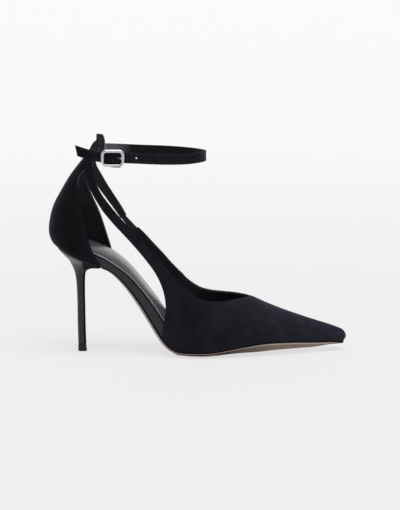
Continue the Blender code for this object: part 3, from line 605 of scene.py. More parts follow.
silver = grainFinish("polishedSilver", finishLook["silver"], Metallic=1.0)
thread = grainFinish("blackThread", finishLook["thread"])
# painted light and shade along the shoe
paintLightAndShadeAlong(suede, paintedLightAndShadeLook["suede"])
paintLightAndShadeAlong(liningLeather, paintedLightAndShadeLook["lining"])
paintLightAndShadeAlong(bandLining, paintedLightAndShadeLook["band"])
paintLightAndShadeAlong(sockLeather, paintedLightAndShadeLook["sock"])
# painted highlight: a pale line along the sock's rounded edge and side
dyeAndPaintedLight(sockLeather, *paintedLightLinesLook["sockEdgeHighlight"])
# painted shadow: a black line along the board's top under the sock, and painted shade along its foot
dyeAndPaintedLight(boardLeather, *paintedLightLinesLook["boardTopShadow"])
dyeAndPaintedLight(boardLeather, *paintedLightLinesLook["boardFootShade"])
print("finishes ready")

# upper: vamp halves with their sling straps, tall counter and the medial sling above the elastic
upperLook = {
    "vamp": (  # foot x, crown x, lateral z, medial z, lateral y, medial y, turn, belly
        (246.6, 247.5, 11.0, 11.0, 7.0, 7.0, 90.0, 0.0),
        (245.4, 246.3, 14.6, 14.6, 7.0, 7.0, 90.0, 0.5),
        (242.0, 242.6, 17.7, 17.7, 7.0, 7.0, 90.0, 0.9),
        (235.0, 235.0, 20.8, 20.8, 6.9, 6.9, 90.0, 1.1),
        (223.0, 223.0, 24.6, 24.6, 6.4, 6.4, 90.0, 1.4),
        (210.0, 210.0, 28.9, 28.9, 5.7, 5.7, 90.0, 1.7),
        (196.0, 196.0, 33.8, 33.8, 5.0, 5.0, 90.0, 2.0),
        (182.0, 182.0, 39.4, 39.4, 4.3, 4.3, 90.0, 2.2),
        (169.5, 169.5, 45.2, 45.2, 3.6, 3.6, 90.0, 2.2),
        (158.0, 156.5, 45.4, 46.6, -9.4, 15.8, 77.0, 2.2),
        (146.0, 145.0, 45.0, 46.6, -20.0, 24.2, 65.0, 2.2),
        (134.0, 134.5, 46.0, 46.9, -27.2, 29.6, 53.0, 2.2),
        (122.0, 126.0, 48.6, 48.9, -30.8, 31.8, 43.0, 2.0),
        (110.0, 118.5, 54.0, 53.2, -32.6, 32.4, 34.0, 1.8),
        (100.0, 113.2, 58.8, 57.6, -33.2, 32.4, 28.0, 1.6),
        (94.4, 110.6, 61.2, 60.6, -33.3, 32.3, 24.0, 1.4),
    ),
    "throatRow": 8,
    "lateralSling": (  # foot x, y, z, crown x, y, z
        (96.3, -31.8, 28.0, 109.8, -33.3, 61.9), (97.4, -32.7, 40.0, 108.6, -33.3, 62.9),
        (96.4, -33.0, 51.0, 105.6, -33.2, 65.8), (93.5, -32.9, 60.8, 100.9, -32.9, 70.6),
        (88.5, -32.3, 70.7, 94.8, -32.2, 77.6), (81.2, -31.2, 80.6, 87.2, -31.2, 86.2),
        (73.0, -29.7, 90.3, 79.2, -29.9, 95.4), (64.0, -27.8, 100.0, 70.0, -28.2, 104.7),
        (54.7, -25.4, 109.7, 61.0, -26.0, 114.2), (46.5, -22.4, 119.1, 53.2, -23.2, 123.1),
        (39.8, -18.8, 129.0, 46.4, -19.8, 131.6), (35.4, -16.0, 137.0, 42.2, -17.0, 138.4),
        (32.2, -13.6, 144.9, 39.3, -14.6, 145.2), (30.9, -11.6, 152.0, 38.0, -12.7, 152.0),
        (30.4, -8.7, 159.6, 37.6, -11.4, 160.0),
    ),
    "medialExtension": (
        (96.3, 30.4, 28.0, 109.8, 32.3, 61.3), (97.4, 31.4, 40.0, 108.6, 32.3, 62.4),
        (96.4, 31.9, 51.0, 105.6, 32.2, 65.4), (93.5, 31.9, 60.8, 100.9, 31.9, 70.4),
        (88.5, 31.5, 70.7, 94.8, 31.4, 77.5), (81.2, 30.4, 80.6, 87.2, 30.4, 85.8),
        (73.6, 29.0, 89.6, 79.6, 29.1, 94.4), (67.3, 27.6, 96.6, 73.3, 27.8, 100.7),
    ),
    "medialSling": (
        (58.7, 25.0, 108.2, 63.5, 25.4, 111.3), (54.2, 23.5, 115.0, 59.9, 24.0, 118.3),
        (47.3, 20.8, 125.0, 53.8, 21.8, 128.2), (40.1, 17.7, 135.6, 47.5, 18.9, 138.7),
        (35.5, 14.8, 145.2, 42.9, 15.9, 147.4), (32.6, 12.3, 153.0, 39.8, 13.2, 153.5),
        (31.0, 9.2, 159.4, 38.4, 11.5, 159.8),
    ),
    "slingTurn": 12.0,
    "slingBelly": 0.25,
    "slingEase": (0.6, 0.3, 0.1),
    "counter": (  # back x, back z, depth, half width, lateral edge x, medial edge x, fall
        (6.0, 89.1, 29.0, 26.4, 44.8, 51.0, -0.385), (2.6, 92.8, 29.2, 26.9, 42.2, 51.8, -0.375),
        (0.3, 100.0, 29.0, 26.6, 37.6, 51.0, -0.34), (0.9, 110.0, 27.5, 25.0, 33.0, 47.0, -0.29),
        (4.2, 122.5, 24.0, 21.8, 29.2, 41.6, -0.23), (10.5, 134.5, 19.5, 17.6, 26.6, 34.6, -0.16),
        (17.2, 145.8, 15.5, 13.8, 25.4, 30.4, -0.10), (21.9, 152.4, 13.8, 12.0, 29.4, 33.4, -0.05),
        (26.6, 158.4, 12.4, 10.7, 37.0, 38.2, 0.0), (29.8, 162.2, 11.6, 9.9, 38.6, 39.6, 0.0),
    ),
    "sideTaper": 0.14,
    "rowSteps": 8,
    "across": 32,
    "counterSteps": 60,
    "counterAcross": 112,
    "girthSteps": 12,
    "heightSteps": 40,
    "slingSteps": 48,
    "slingAcross": 16,
    "arcGain": 0.1,             # how much longer than its chord a section is at a quarter turn
    "rimReach": 3.6,            # band along an edge that has a closer mesh for its fold and stitch groove
    "rimShare": 0.25,
    "rimMost": 0.4,
    "foldHeight": 0.16,
    "foldInset": 0.7,
    "foldSpread": 0.6,
    "grooveDepth": 0.14,
    "grooveSpread": 0.4,
    "seamInset": 1.7,
    "toplineStart": 0.5,        # rows over which the folds of topline and window begin
    "windowStart": 0.6,
    "slingsJoin": (0.74, 0.12),
    "backSeam": (0.22, 0.5),
    "edgeRound": (0.42, 2, 50),
    "halfSewn": (0.35, 0.45),   # rows left free before the stitches, and in all
    "slingSewn": (0.02, 0.9),   # where the stitches start, and how far they run
    "counterSewn": (0.03, 0.72),
    "tuck": 0.5,                # how far the lower edge draws in over the sole, and less at the toe
    "tuckReach": 2.0,
    "toeTuck": -0.35,
    "toeFull": 0.4,
    "toeFullReach": 2.5,
    "toeRound": (238.0, 246.0),
    "creaseStart": 6.0,
    "creases": (  # x, z, direction in degrees, half length, half width, height: soft folds in the suede
        (126.0, 34.0, 62.0, 13.0, 3.2, 0.16), (119.0, 30.0, 66.0, 12.0, 2.6, -0.14),
        (150.0, 30.0, 40.0, 12.0, 3.6, -0.12), (172.0, 30.0, 25.0, 14.0, 3.6, 0.12),
        (204.0, 24.0, 18.0, 12.0, 3.0, -0.10),
    ),
}
vampLast = len(upperLook["vamp"]) - 1
upperHalves = ((lateral, upperLook["lateralSling"]), (medial, upperLook["medialExtension"]))


def outOf(side):  # roughly the way out of one side of the upper
    return (0.0, side, 0.4)


def toeShare(x):  # 0 along the shoe and 1 at the round of the toe
    first, last = upperLook["toeRound"]
    return ease((x - first) / (last - first))


def halfRows(side, sling):
    rows = []
    for footX, crownX, lateralZ, medialZ, lateralY, medialY, turn, belly in upperLook["vamp"]:
        crownY, crownZ = (lateralY, lateralZ) if side == lateral else (medialY, medialZ)
        footZ = heightAt(seatColumn, footX) + lastShape["gap"]
        rows.append((footX, featherY(side, footX), footZ, crownX, crownY, crownZ, turn, belly))
    turn, belly = rows[-1][6:8]
    for k, row in enumerate(sling):
        share = upperLook["slingEase"][k] if k < len(upperLook["slingEase"]) else 0.0
        rows.append((*row, upperLook["slingTurn"] + (turn - upperLook["slingTurn"]) * share,
                     upperLook["slingBelly"] + (belly - upperLook["slingBelly"]) * share))
    return np.array(rows)


def sectionSpot(row, side, v):  # v is 0 at the foot and 1 at the crown
    foot, crown = row[0:3], row[3:6]
    turn = math.radians(row[6])
    rise = math.sin(turn * v) / math.sin(turn)
    leansIn = side * (crown[1] - foot[1]) < 0
    lean = (1 - math.cos(turn * v)) / (1 - math.cos(turn)) if leansIn else rise
    point = foot + (crown - foot) * rise
    bulge = row[7] * 27 / 4 * v * (1 - v) ** 2   # reaches row[7] at a third of the way up
    point[1] = foot[1] + (crown[1] - foot[1]) * lean + side * bulge
    return point


def halfRow(rows, u):
    row = through(rows, u)
    place = u * (len(rows) - 1)
    if place <= vampLast:
        row[2] = heightAt(seatColumn, row[0]) + lastShape["gap"]
    if place <= upperLook["throatRow"]:
        ridge = rows[:upperLook["throatRow"] + 1]
        row[3:6] = through(ridge, place / upperLook["throatRow"])[3:6]
    return row


def sectionLength(row):
    return np.linalg.norm(row[3:6] - row[0:3]) * (1 + upperLook["arcGain"] * row[6] / 90)


def rimSpread(t, length):  # closer mesh along both edges of a section
    share = upperLook["rimShare"]
    rim = min(upperLook["rimReach"] / length, upperLook["rimMost"])
    if t < share:
        return rim * t / share
    if t > 1 - share:
        return 1 - rim * (1 - t) / share
    return rim + (1 - 2 * rim) * (t - share) / (1 - 2 * share)


def foldRelief(inset):  # rounded fold at an edge, with the groove that its stitches pull in
    look = upperLook
    fold = look["foldHeight"] * math.exp(-((inset - look["foldInset"]) / look["foldSpread"]) ** 2)
    groove = look["grooveDepth"] * math.exp(-((inset - look["seamInset"]) / look["grooveSpread"]) ** 2)
    return fold - groove


def creaseRelief(x, z):
    total = 0.0
    for middleX, middleZ, degrees, reach, width, height in upperLook["creases"]:
        cos, sin = math.cos(math.radians(degrees)), math.sin(math.radians(degrees))
        along = (x - middleX) * cos + (z - middleZ) * sin
        across = (z - middleZ) * cos - (x - middleX) * sin
        total += height * math.exp(-(along / reach) ** 2 - (across / width) ** 2)
    return total


def layHalf(bm, side, sling):
    look = upperLook
    rows = halfRows(side, sling)
    steps = look["rowSteps"] * (len(rows) - 1)
    sections = [halfRow(rows, k / steps) for k in range(steps + 1)]
    lengths = [sectionLength(row) for row in sections]

    def place(u, t):
        k = round(u * steps)
        return sectionSpot(sections[k], side, rimSpread(t, lengths[k]))

    def relief(u, t):
        k = round(u * steps)
        row = u * (len(rows) - 1)
        v = rimSpread(t, lengths[k])
        topline = ease((row - look["throatRow"]) / look["toplineStart"])
        window = ease((row - vampLast) / look["windowStart"])
        foot = v * lengths[k]
        lift = topline * foldRelief((1 - v) * lengths[k]) + window * foldRelief(foot)
        point = place(u, t)
        toe = toeShare(point[0])
        tuck = look["tuck"] + look["toeTuck"] * toe
        lift -= (1 - window) * tuck * max(0.0, 1 - foot / (look["tuckReach"] + toe)) ** 2
        lift += toe * look["toeFull"] * ease(foot / look["toeFullReach"])
        return lift + creaseRelief(point[0], point[2]) * min(1.0, foot / look["creaseStart"])

    return layGrid(bm, steps, look["across"], place, outOf(side)), relief


def counterWrap(backX, depth, edgeX):
    reach = (edgeX - backX) / depth
    return math.acos(1 - reach) if reach <= 1 else math.pi / 2 + reach - 1


def counterSpot(u, v):  # u runs up from the seat, v round the back from the lateral to the medial edge
    backX, backZ, depth, halfWidth, lateralX, medialX, fall = through(upperLook["counter"], u)
    start = -counterWrap(backX, depth, lateralX)
    angle = start + (counterWrap(backX, depth, medialX) - start) * v
    past = max(0.0, abs(angle) - math.pi / 2)
    if past > 0:
        x = backX + depth * (1 + past)
        y = math.copysign(halfWidth * (1 - upperLook["sideTaper"] * past * past), angle)
    else:
        x = backX + depth * (1 - math.cos(angle))
        y = halfWidth * math.sin(angle)
    return np.array((x, y, backZ + fall * (x - backX)))


def counterGirth(u):
    return pathLength(lambda v: counterSpot(u, v), upperLook["girthSteps"])


counterSteps = upperLook["counterSteps"]
counterGirths = [counterGirth(k / counterSteps) for k in range(counterSteps + 1)]
counterHeight = pathLength(lambda u: counterSpot(u, 0.5), upperLook["heightSteps"])


def layCounter(bm):
    joinAt, joinReach = upperLook["slingsJoin"]
    seamDepth, seamWidth = upperLook["backSeam"]

    def girthAt(u):
        return counterGirths[round(u * counterSteps)]

    def place(u, t):
        return counterSpot(u, rimSpread(t, girthAt(u)))

    def relief(u, t):
        v = rimSpread(t, girthAt(u))
        free = 1 - ease((u - joinAt) / joinReach)   # above this the sling straps run into the counter
        sides = free * (foldRelief(v * girthAt(u)) + foldRelief((1 - v) * girthAt(u)))
        top = foldRelief((1 - u) * counterHeight)
        seam = seamDepth * math.exp(-((v - 0.5) * girthAt(u) / seamWidth) ** 2)   # closed back seam
        return sides + top - seam

    return layGrid(bm, counterSteps, upperLook["counterAcross"], place, (-1.0, 0.0, 0.0)), relief


medialSlingRows = np.array([(*row, upperLook["slingTurn"], upperLook["slingBelly"])
                            for row in upperLook["medialSling"]])


def medialSlingSpot(u, v):
    return sectionSpot(through(medialSlingRows, u), medial, v)


def layMedialSling(bm):
    def lengthAt(u):
        return sectionLength(through(medialSlingRows, u))

    def place(u, t):
        return medialSlingSpot(u, rimSpread(t, lengthAt(u)))

    def relief(u, t):
        v = rimSpread(t, lengthAt(u))
        return foldRelief(v * lengthAt(u)) + foldRelief((1 - v) * lengthAt(u))

    return layGrid(bm, upperLook["slingSteps"], upperLook["slingAcross"], place, outOf(medial)), relief


def makeUpper():
    bm = bmesh.new()
    sheets = [layHalf(bm, side, sling) for side, sling in upperHalves]
    sheets += [layCounter(bm), layMedialSling(bm)]
    for spots, relief in sheets:
        raiseSheet(bm, spots, relief)
    weldVerts(bm)
    piece = addPiece("suedeUpper", bm, (suede, liningLeather, foldedEdge), "suede", "upper")
    thicken(piece, lastShape["wall"], 2, 1)
    roundEdges(piece, *upperLook["edgeRound"])


def halfSeam(rows, side, firstRow, atCrown):  # stitch row of a half along its topline or its window
    last = len(rows) - 1
    start, short = upperLook["halfSewn"]

    def place(u, v):
        return sectionSpot(halfRow(rows, u), side, v)

    def spot(t):
        u = (firstRow + start + (last - firstRow - short) * t) / last
        inset = upperLook["seamInset"] / sectionLength(halfRow(rows, u))
        return surfaceSpot(place, u, 1 - inset if atCrown else inset, outOf(side))

    return spot


def sewUpper():
    bm = bmesh.new()
    for side, sling in upperHalves:
        rows = halfRows(side, sling)
        sewLine(bm, halfSeam(rows, side, upperLook["throatRow"], True))
        sewLine(bm, halfSeam(rows, side, vampLast, False))
    for edge in (0, 1):
        def slingSpot(t):
            start, length = upperLook["slingSewn"]
            u = start + length * t
            inset = upperLook["seamInset"] / sectionLength(through(medialSlingRows, u))
            return surfaceSpot(medialSlingSpot, u, inset if edge == 0 else 1 - inset, outOf(medial))

        def counterEdgeSpot(t):
            start, length = upperLook["counterSewn"]
            u = start + length * t
            inset = upperLook["seamInset"] / counterGirth(u)
            v = inset if edge == 0 else 1 - inset
            return surfaceSpot(counterSpot, u, v, (-0.3, lateral if edge == 0 else medial, 0.0))

        sewLine(bm, slingSpot)
        sewLine(bm, counterEdgeSpot, samples=200)
    addPiece("upperStitches", bm, (thread,), "suede")


makeUpper()
sewUpper()
print("upper done")

# short elastic in the medial sling, with its ribs along the pull
elasticLook = {"insetLow": 0.6, "insetHigh": 1.0, "thick": 1.2, "steps": 20, "across": 28, "ribs": 7,
               "ribHeight": 0.16, "underlap": 0.8,   # its ends run into the strap's fold
               "weave": ((0.010, 0.010, 0.013), (0.030, 0.030, 0.036), (3200.0, 1500.0, 0.6, 0.85),
                         (0.6, 0.12), 0.3)}


def makeElastic():
    ends = (np.array(upperLook["medialExtension"][-1]), np.array(upperLook["medialSling"][0]))
    along = unit((ends[1] - ends[0])[0:3])

    def place(u, v, w):
        row = ends[0] * (1 - u) + ends[1] * u
        foot, crown = row[0:3], row[3:6]
        across = unit(crown - foot)
        normal = np.cross(across, along)
        normal *= math.copysign(1.0, normal[1])
        wave = abs(math.sin(math.pi * elasticLook["ribs"] * v)) - 1
        rib = elasticLook["ribHeight"] * wave * (2 * w - 1)
        low, high = elasticLook["insetLow"], elasticLook["insetHigh"]
        point = foot + across * low + (crown - foot - (low + high) * across) * v
        depth = 0.5 * (lastShape["wall"] - elasticLook["thick"]) + elasticLook["thick"] * (1 - w)
        return point - along * elasticLook["underlap"] * (1 - 2 * u) - normal * (depth - rib)

    woven = grainFinish("wovenElastic", elasticLook["weave"])
    bm = bmesh.new()
    layBlock(bm, elasticLook["steps"], elasticLook["across"], place)
    closeUp(bm)
    addPiece("elasticInsert", bm, (woven,), "elastic", "sling_elastic")


makeElastic()

# insole: wrapped board on the sole and heel, satin sock on top with a row of stitches along its edges
insoleLook = {"edgeInset": 2.6, "heelFlare": 2.4, "heelReach": 11.0, "sockInset": 0.3, "sock": 1.3,
              "crown": 0.3, "camber": 2.6, "camberStart": (14.0, 20.0), "camberEnd": (96.0, 24.0),
              "steps": 150, "across": 24, "boardRound": 0.8, "sockRound": 0.8,
              "seamInset": 2.0, "sewn": (0.05, 0.75), "pitch": 1.8}


def heelShare(x):
    return math.exp(-((x - lastShape["outline"][0][0]) / insoleLook["heelReach"]) ** 2)


def insoleTop(x, v):
    return heightAt(sockColumn, x) + v * heightAt(archColumn, x)


def sockSpot(t, v):
    inset = insoleLook["edgeInset"]
    x, y = planSpot(inset, t, v)
    x, y = planSpot(inset + insoleLook["sockInset"] - insoleLook["heelFlare"] * heelShare(x), t, v)
    flatX = planSpot(inset, t, v)[0]
    start, startLength = insoleLook["camberStart"]
    end, endLength = insoleLook["camberEnd"]
    rise = insoleLook["camber"] * (1 - (2 * v - 1) ** 2) * ease((flatX - start) / startLength)
    rise *= 1 - ease((flatX - end) / endLength)
    sink = insoleLook["crown"] * (2 * v - 1) ** 4
    return np.array((x, y, insoleTop(flatX, v) + rise - sink))


def makeInsole():
    places = soleStations(insoleLook["steps"])

    def board(u, v, w):
        t = places[round(u * insoleLook["steps"])]
        x, y = planSpot(insoleLook["edgeInset"], t, v)
        if w == 0.0:
            return (x, y, heightAt(seatColumn, x) + lastShape["gap"])
        wideX, wideY = planSpot(insoleLook["edgeInset"] - insoleLook["heelFlare"] * heelShare(x), t, v)
        return (wideX, wideY, insoleTop(x, v) - insoleLook["sock"] - lastShape["gap"])

    def sock(u, v, w):
        t = places[round(u * insoleLook["steps"])]
        point = sockSpot(t, v)
        if w == 1.0:
            return point
        point[2] = insoleTop(planSpot(insoleLook["edgeInset"], t, v)[0], v) - insoleLook["sock"]
        return point

    bm = bmesh.new()
    layBlock(bm, insoleLook["steps"], insoleLook["across"], board)
    closeUp(bm)
    piece = addPiece("wrappedInsole", bm, (boardLeather,), "suede", "insole_board")
    roundEdges(piece, insoleLook["boardRound"])
    bm = bmesh.new()
    layBlock(bm, insoleLook["steps"], insoleLook["across"], sock)
    closeUp(bm)
    piece = addPiece("leatherSock", bm, (sockLeather,), "sock_leather", "insole_sock")
    roundEdges(piece, insoleLook["sockRound"])
    bm = bmesh.new()
    for edge in (lateral, medial):
        def seamSpot(t):
            start, length = insoleLook["sewn"]
            share = start + length * t
            sides = [planEdge(side, share, insoleLook["edgeInset"]) for side in (lateral, medial)]
            inset = insoleLook["seamInset"] / np.linalg.norm(sides[0] - sides[1])
            v = inset if edge == lateral else 1 - inset
            return surfaceSpot(sockSpot, share, v, (0.0, 0.0, 1.0))

        sewLine(bm, seamSpot, samples=400, pitch=insoleLook["pitch"])
    addPiece("sockStitches", bm, (thread,), "sock_leather")


makeInsole()
print("insole done")

# outsole: thin tan leather, its edge dark along the top where the upper's cement and dye reach
soleLook = {
    "thick": 2.1, "waistInset": 2.8, "treadInset": 0.7, "toeInset": 0.1, "waistEndX": 86.0,
    "treadStartX": 108.0, "breastX": 44.7, "flat": 0.58, "crownPower": 1.6,
    "steps": 150, "across": 28, "shortest": 0.003, "round": 0.35,
    "leather": ((0.60, 0.47, 0.39), (0.78, 0.67, 0.59), (1600.0, 60.0, 0.6, 0.8), (0.3, 0.1), 0.1),
    # each colour with the rises where it starts and is full, and the places that bound it
    # the tread colour is painted shade on the underside
    "tread": ((0.21, 0.155, 0.125, 1.0), 0.12, 0.04), "treadShade": (112.0, 160.0),
    "edge": ((0.44, 0.36, 0.34, 1.0), 0.06, 0.14),
    # greys the sole's edge round the ball
    "ballZone": ((0.30, 0.235, 0.20, 1.0), 0.06, 0.14), "ballZoneFrom": (94.0, 112.0), "ballZoneTo": (148.0, 186.0),
    # painted contact shadow low on the edge round the ball
    "paintedContactShade": ((0.030, 0.020, 0.017, 1.0), 0.36, 0.26),
    "dyed": ((0.006, 0.003, 0.002, 1.0), 0.56, 0.66), "breastDye": (45.5, 48.5), "toeDye": (232.0, 243.0),
    "startThin": 0.4, "startLength": 28.0,                         # skived to a thin start at the breast
    "waistSwell": 0.5, "waist": (62.0, 78.0, 90.0, 104.0),         # a little thicker at the waist
    "treadSwell": 1.5, "forepart": (150.0, 180.0, 215.0, 240.0),   # and below the forepart
}


def makeSoleLeather():
    material = grainFinish("tanSole", soleLook["leather"])
    tree = material.node_tree
    tread = rangeAlong(material, soleLook["treadShade"], 0.0, 1.0)
    # painted shade: the underside darker brown from the ball to the toe
    dyeAndPaintedLight(material, *soleLook["tread"], 'MULTIPLY', tread)
    dyeAndPaintedLight(material, *soleLook["edge"])
    ballZone = addMath(tree, 'MULTIPLY', rangeAlong(material, soleLook["ballZoneFrom"], 0.0, 1.0),
                   rangeAlong(material, soleLook["ballZoneTo"], 1.0, 0.0))   # greyer edge round the ball, and the painted contact shadow below it
    dyeAndPaintedLight(material, *soleLook["ballZone"], 'MULTIPLY', ballZone)
    # painted contact shadow: the lowest part of the edge round the ball near black
    dyeAndPaintedLight(material, *soleLook["paintedContactShade"], 'MULTIPLY', ballZone)
    ends = addMath(tree, 'MAXIMUM', rangeAlong(material, soleLook["breastDye"], 1.0, 0.0),
                   rangeAlong(material, soleLook["toeDye"], 0.0, 1.0))
    dyeAndPaintedLight(material, *soleLook["dyed"], 'MAXIMUM', ends)
    return material


def makeSole():
    start = float(np.interp(soleLook["breastX"] + lastShape["gap"], featherLines[lateral][:, 0], shares))
    places = [start] + [t for t in soleStations(soleLook["steps"]) if t > start + soleLook["shortest"]]
    steps = len(places) - 1

    def insetAt(x):
        share = ease((x - soleLook["waistEndX"]) / (soleLook["treadStartX"] - soleLook["waistEndX"]))
        toe = soleLook["toeInset"] * toeShare(x)
        return soleLook["waistInset"] + (soleLook["treadInset"] - soleLook["waistInset"]) * share + toe

    def swell(x, reach):  # 1 between the inner two places of reach and 0 beyond the outer two
        start, full, fade, end = reach
        return ease((x - start) / (full - start)) * (1 - ease((x - fade) / (end - fade)))

    def place(u, v, w):
        t = places[round(u * steps)]
        x, y = planSpot(insetAt(planSpot(soleLook["treadInset"], t, v)[0]), t, v)
        seat = heightAt(seatColumn, x)
        if w == 1.0:
            return (x, y, seat)
        slope = heightAt(seatColumn, x + 0.5) - heightAt(seatColumn, x - 0.5)
        waist = soleLook["waistSwell"] * swell(x, soleLook["waist"]) * math.hypot(1.0, slope)
        start = ease((x - soleLook["breastX"]) / soleLook["startLength"])
        thin = soleLook["startThin"] + (1 - soleLook["startThin"]) * start
        rim = seat - soleLook["thick"] * thin * math.hypot(1.0, slope) - waist
        flat = soleLook["flat"]
        share = max(0.0, (abs(2 * v - 1) - flat) / (1 - flat)) ** soleLook["crownPower"]
        low = seat - (seat - heightAt(underColumn, x)) * thin - waist
        low -= soleLook["treadSwell"] * swell(x, soleLook["forepart"])
        return (x, y, low + (rim - low) * share)

    bm = bmesh.new()
    layBlock(bm, steps, soleLook["across"], place)
    closeUp(bm)
    piece = addPiece("tanSole", bm, (makeSoleLeather(),), "sole_leather", "outsole")
    roundEdges(piece, soleLook["round"])


makeSole()
print("sole done")

# heel: cup and stem in one smooth cover, matt and darker at the breast, partly painted shade, on a small
# rubber top piece
heelLook = {
    "rows": (  # back x, back z, front x, front z, half width, where that lies
        (7.0, 88.15, 44.6, 73.4, 25.0, 0.62), (8.4, 85.8, 44.5, 71.9, 24.2, 0.62),
        (12.6, 81.2, 42.0, 71.1, 19.6, 0.61), (16.3, 77.2, 37.0, 70.6, 13.8, 0.60),
        (18.7, 73.0, 33.0, 69.2, 9.4, 0.59), (20.7, 68.4, 30.8, 67.0, 6.4, 0.58),
        (22.0, 63.0, 29.9, 62.5, 4.7, 0.56), (22.9, 54.0, 29.7, 54.0, 3.9, 0.54),
        (23.3, 40.0, 29.8, 40.0, 3.4, 0.52), (23.4, 22.0, 30.0, 22.0, 3.3, 0.50),
        (23.8, 6.7, 30.4, 6.7, 3.4, 0.50),
    ),
    "square": 5.0, "steps": 100, "around": 80, "round": (0.4, 2, 60),
    "breastFacing": 0.1, "stemTop": 66.0, "shelfFacing": -0.4, "shelfX": 29.6,
    "tip": (  # back x, front x, z, half width
        (23.6, 31.1, 0.0, 3.9), (23.7, 30.7, 2.6, 3.7), (23.8, 30.4, 6.4, 3.5),
    ),
    "tipSquare": 3.0, "tipSteps": 16, "tipAround": 64, "tipRound": (0.6, 3, 60),
}


def heelSpot(row, v, square):  # round at the back, squarer at the breast
    backX, backZ, frontX, frontZ, halfWidth, widest = row
    angle = 2 * math.pi * v
    along, out = -math.cos(angle), math.sin(angle)
    length = frontX - backX
    if along < 0:
        x = backX + widest * length * (1 + along)
    else:
        x = backX + widest * length + along ** (2 / square) * (1 - widest) * length
        out = math.copysign(abs(out) ** (2 / square), out)
    return (x, halfWidth * out, backZ + (frontZ - backZ) * (x - backX) / length)


def makeHeel():
    bm = bmesh.new()
    layGrid(bm, heelLook["steps"], heelLook["around"],
            lambda u, v: heelSpot(through(heelLook["rows"], u), v, heelLook["square"]))
    capEnds(bm)
    corner = toFrame((heelLook["shelfX"], 0.0, heelLook["stemTop"]))
    for face in bm.faces:   # the flat breast and the shelf over it are matt and darker, partly painted shade, most on the shelf that faces down
        middle = face.calc_center_median()
        breast = middle.z < corner.z and face.normal.x > heelLook["breastFacing"]
        shelf = middle.z > corner.z and middle.x > corner.x and face.normal.z < heelLook["shelfFacing"]
        face.material_index = int(breast or shelf)
    piece = addPiece("coveredHeel", bm, (heelLeather, breastLeatherAndShade), "heel_cover", "heel")
    roundEdges(piece, *heelLook["round"])
    rows = [(back, z, front, z, halfWidth, 0.5) for back, front, z, halfWidth in heelLook["tip"]]
    bm = bmesh.new()
    layGrid(bm, heelLook["tipSteps"], heelLook["tipAround"],
            lambda u, v: heelSpot(through(rows, u), v, heelLook["tipSquare"]))
    capEnds(bm)
    piece = addPiece("rubberTip", bm, (tipRubber,), "tip_rubber", "heel_tip")
    roundEdges(piece, *heelLook["tipRound"])


makeHeel()
print("heel done")

# ankle strap: one suede strip with a satin lining, stitched along both edges, punched twice
strapLook = {
    "path": (  # x, y, z
        (61.0, -26.2, 162.7), (54.0, -26.3, 163.1), (47.6, -22.4, 164.8), (43.0, -13.0, 167.0),
        (41.4, 0.0, 168.0), (43.2, 13.0, 168.0), (49.4, 22.6, 167.4), (60.0, 28.0, 166.5),
        (78.0, 30.6, 165.5), (98.0, 28.6, 164.9), (114.0, 22.4, 164.2), (125.4, 12.2, 163.6),
        (129.6, 0.0, 163.3), (125.4, -13.0, 162.9), (114.0, -23.6, 162.3), (98.0, -29.6, 162.5),
        (82.0, -31.4, 163.2), (66.0, -31.3, 163.9), (55.0, -31.3, 164.0), (45.5, -31.3, 164.6),
        (35.0, -31.6, 167.0), (25.4, -32.2, 170.1),
    ),
    "width": 8.2, "thick": 1.8, "tailSlant": 2.0, "tailLength": 0.04, "steps": 300, "across": 6,
    "round": (0.5, 2, 50), "seamInset": 1.35, "sewn": (0.01, 0.975),
    "endDrop": 2.8, "endHold": 0.08, "endLength": 0.1,   # the end at the buckle is deeper, to fill it
    "holes": ((74.0, 0.65), (59.7, 1.5)), "holeY": -31.3, "holeZ": 163.9, "holeSides": 28, "holeDepth": 4.0,
}


def strapSpot(u, v, w):  # v up its width, w from the suede side to the lining
    nudge = 0.01 / len(strapLook["path"])
    ahead = unit(through(strapLook["path"], u + nudge) - through(strapLook["path"], u - nudge))
    inward = unit(np.array((ahead[1], -ahead[0], 0.0)))
    tail = max(0.0, (u - 1 + strapLook["tailLength"]) / strapLook["tailLength"])
    up = np.array((0.0, 0.0, strapLook["width"])) + ahead * strapLook["tailSlant"] * tail
    end = 1 - ease((u - strapLook["endHold"]) / strapLook["endLength"])
    drop = np.array((0.0, 0.0, strapLook["endDrop"] * end))
    middle = through(strapLook["path"], u) + inward * strapLook["thick"] * (w - 0.5)
    return middle + up * (v - 0.5) - drop * (1 - v)


def makeStrap():
    bm = bmesh.new()
    layBlock(bm, strapLook["steps"], strapLook["across"], strapSpot, topSlot=1)
    closeUp(bm)
    piece = addPiece("suedeAnkleStrap", bm, (suede, bandLining), "suede", "ankle_strap")
    cutters = []
    for x, radius in strapLook["holes"]:
        bm = bmesh.new()
        place = Matrix.Translation(toFrame((x, strapLook["holeY"], strapLook["holeZ"])))
        bmesh.ops.create_cone(bm, cap_ends=True, segments=strapLook["holeSides"], radius1=radius * mm,
                              radius2=radius * mm, depth=strapLook["holeDepth"] * mm,
                              matrix=place @ Matrix.Rotation(math.pi / 2, 4, 'X'))
        cutter = linkMesh("strapHole", bm)
        cutters.append(cutter)
        punch = piece.modifiers.new("punch", 'BOOLEAN')
        punch.operation = 'DIFFERENCE'
        punch.object = cutter
    punched = bpy.data.meshes.new_from_object(piece.evaluated_get(bpy.context.evaluated_depsgraph_get()))
    piece.modifiers.clear()
    piece.data = punched
    for cutter in cutters:
        bpy.data.objects.remove(cutter)
    roundEdges(piece, *strapLook["round"])


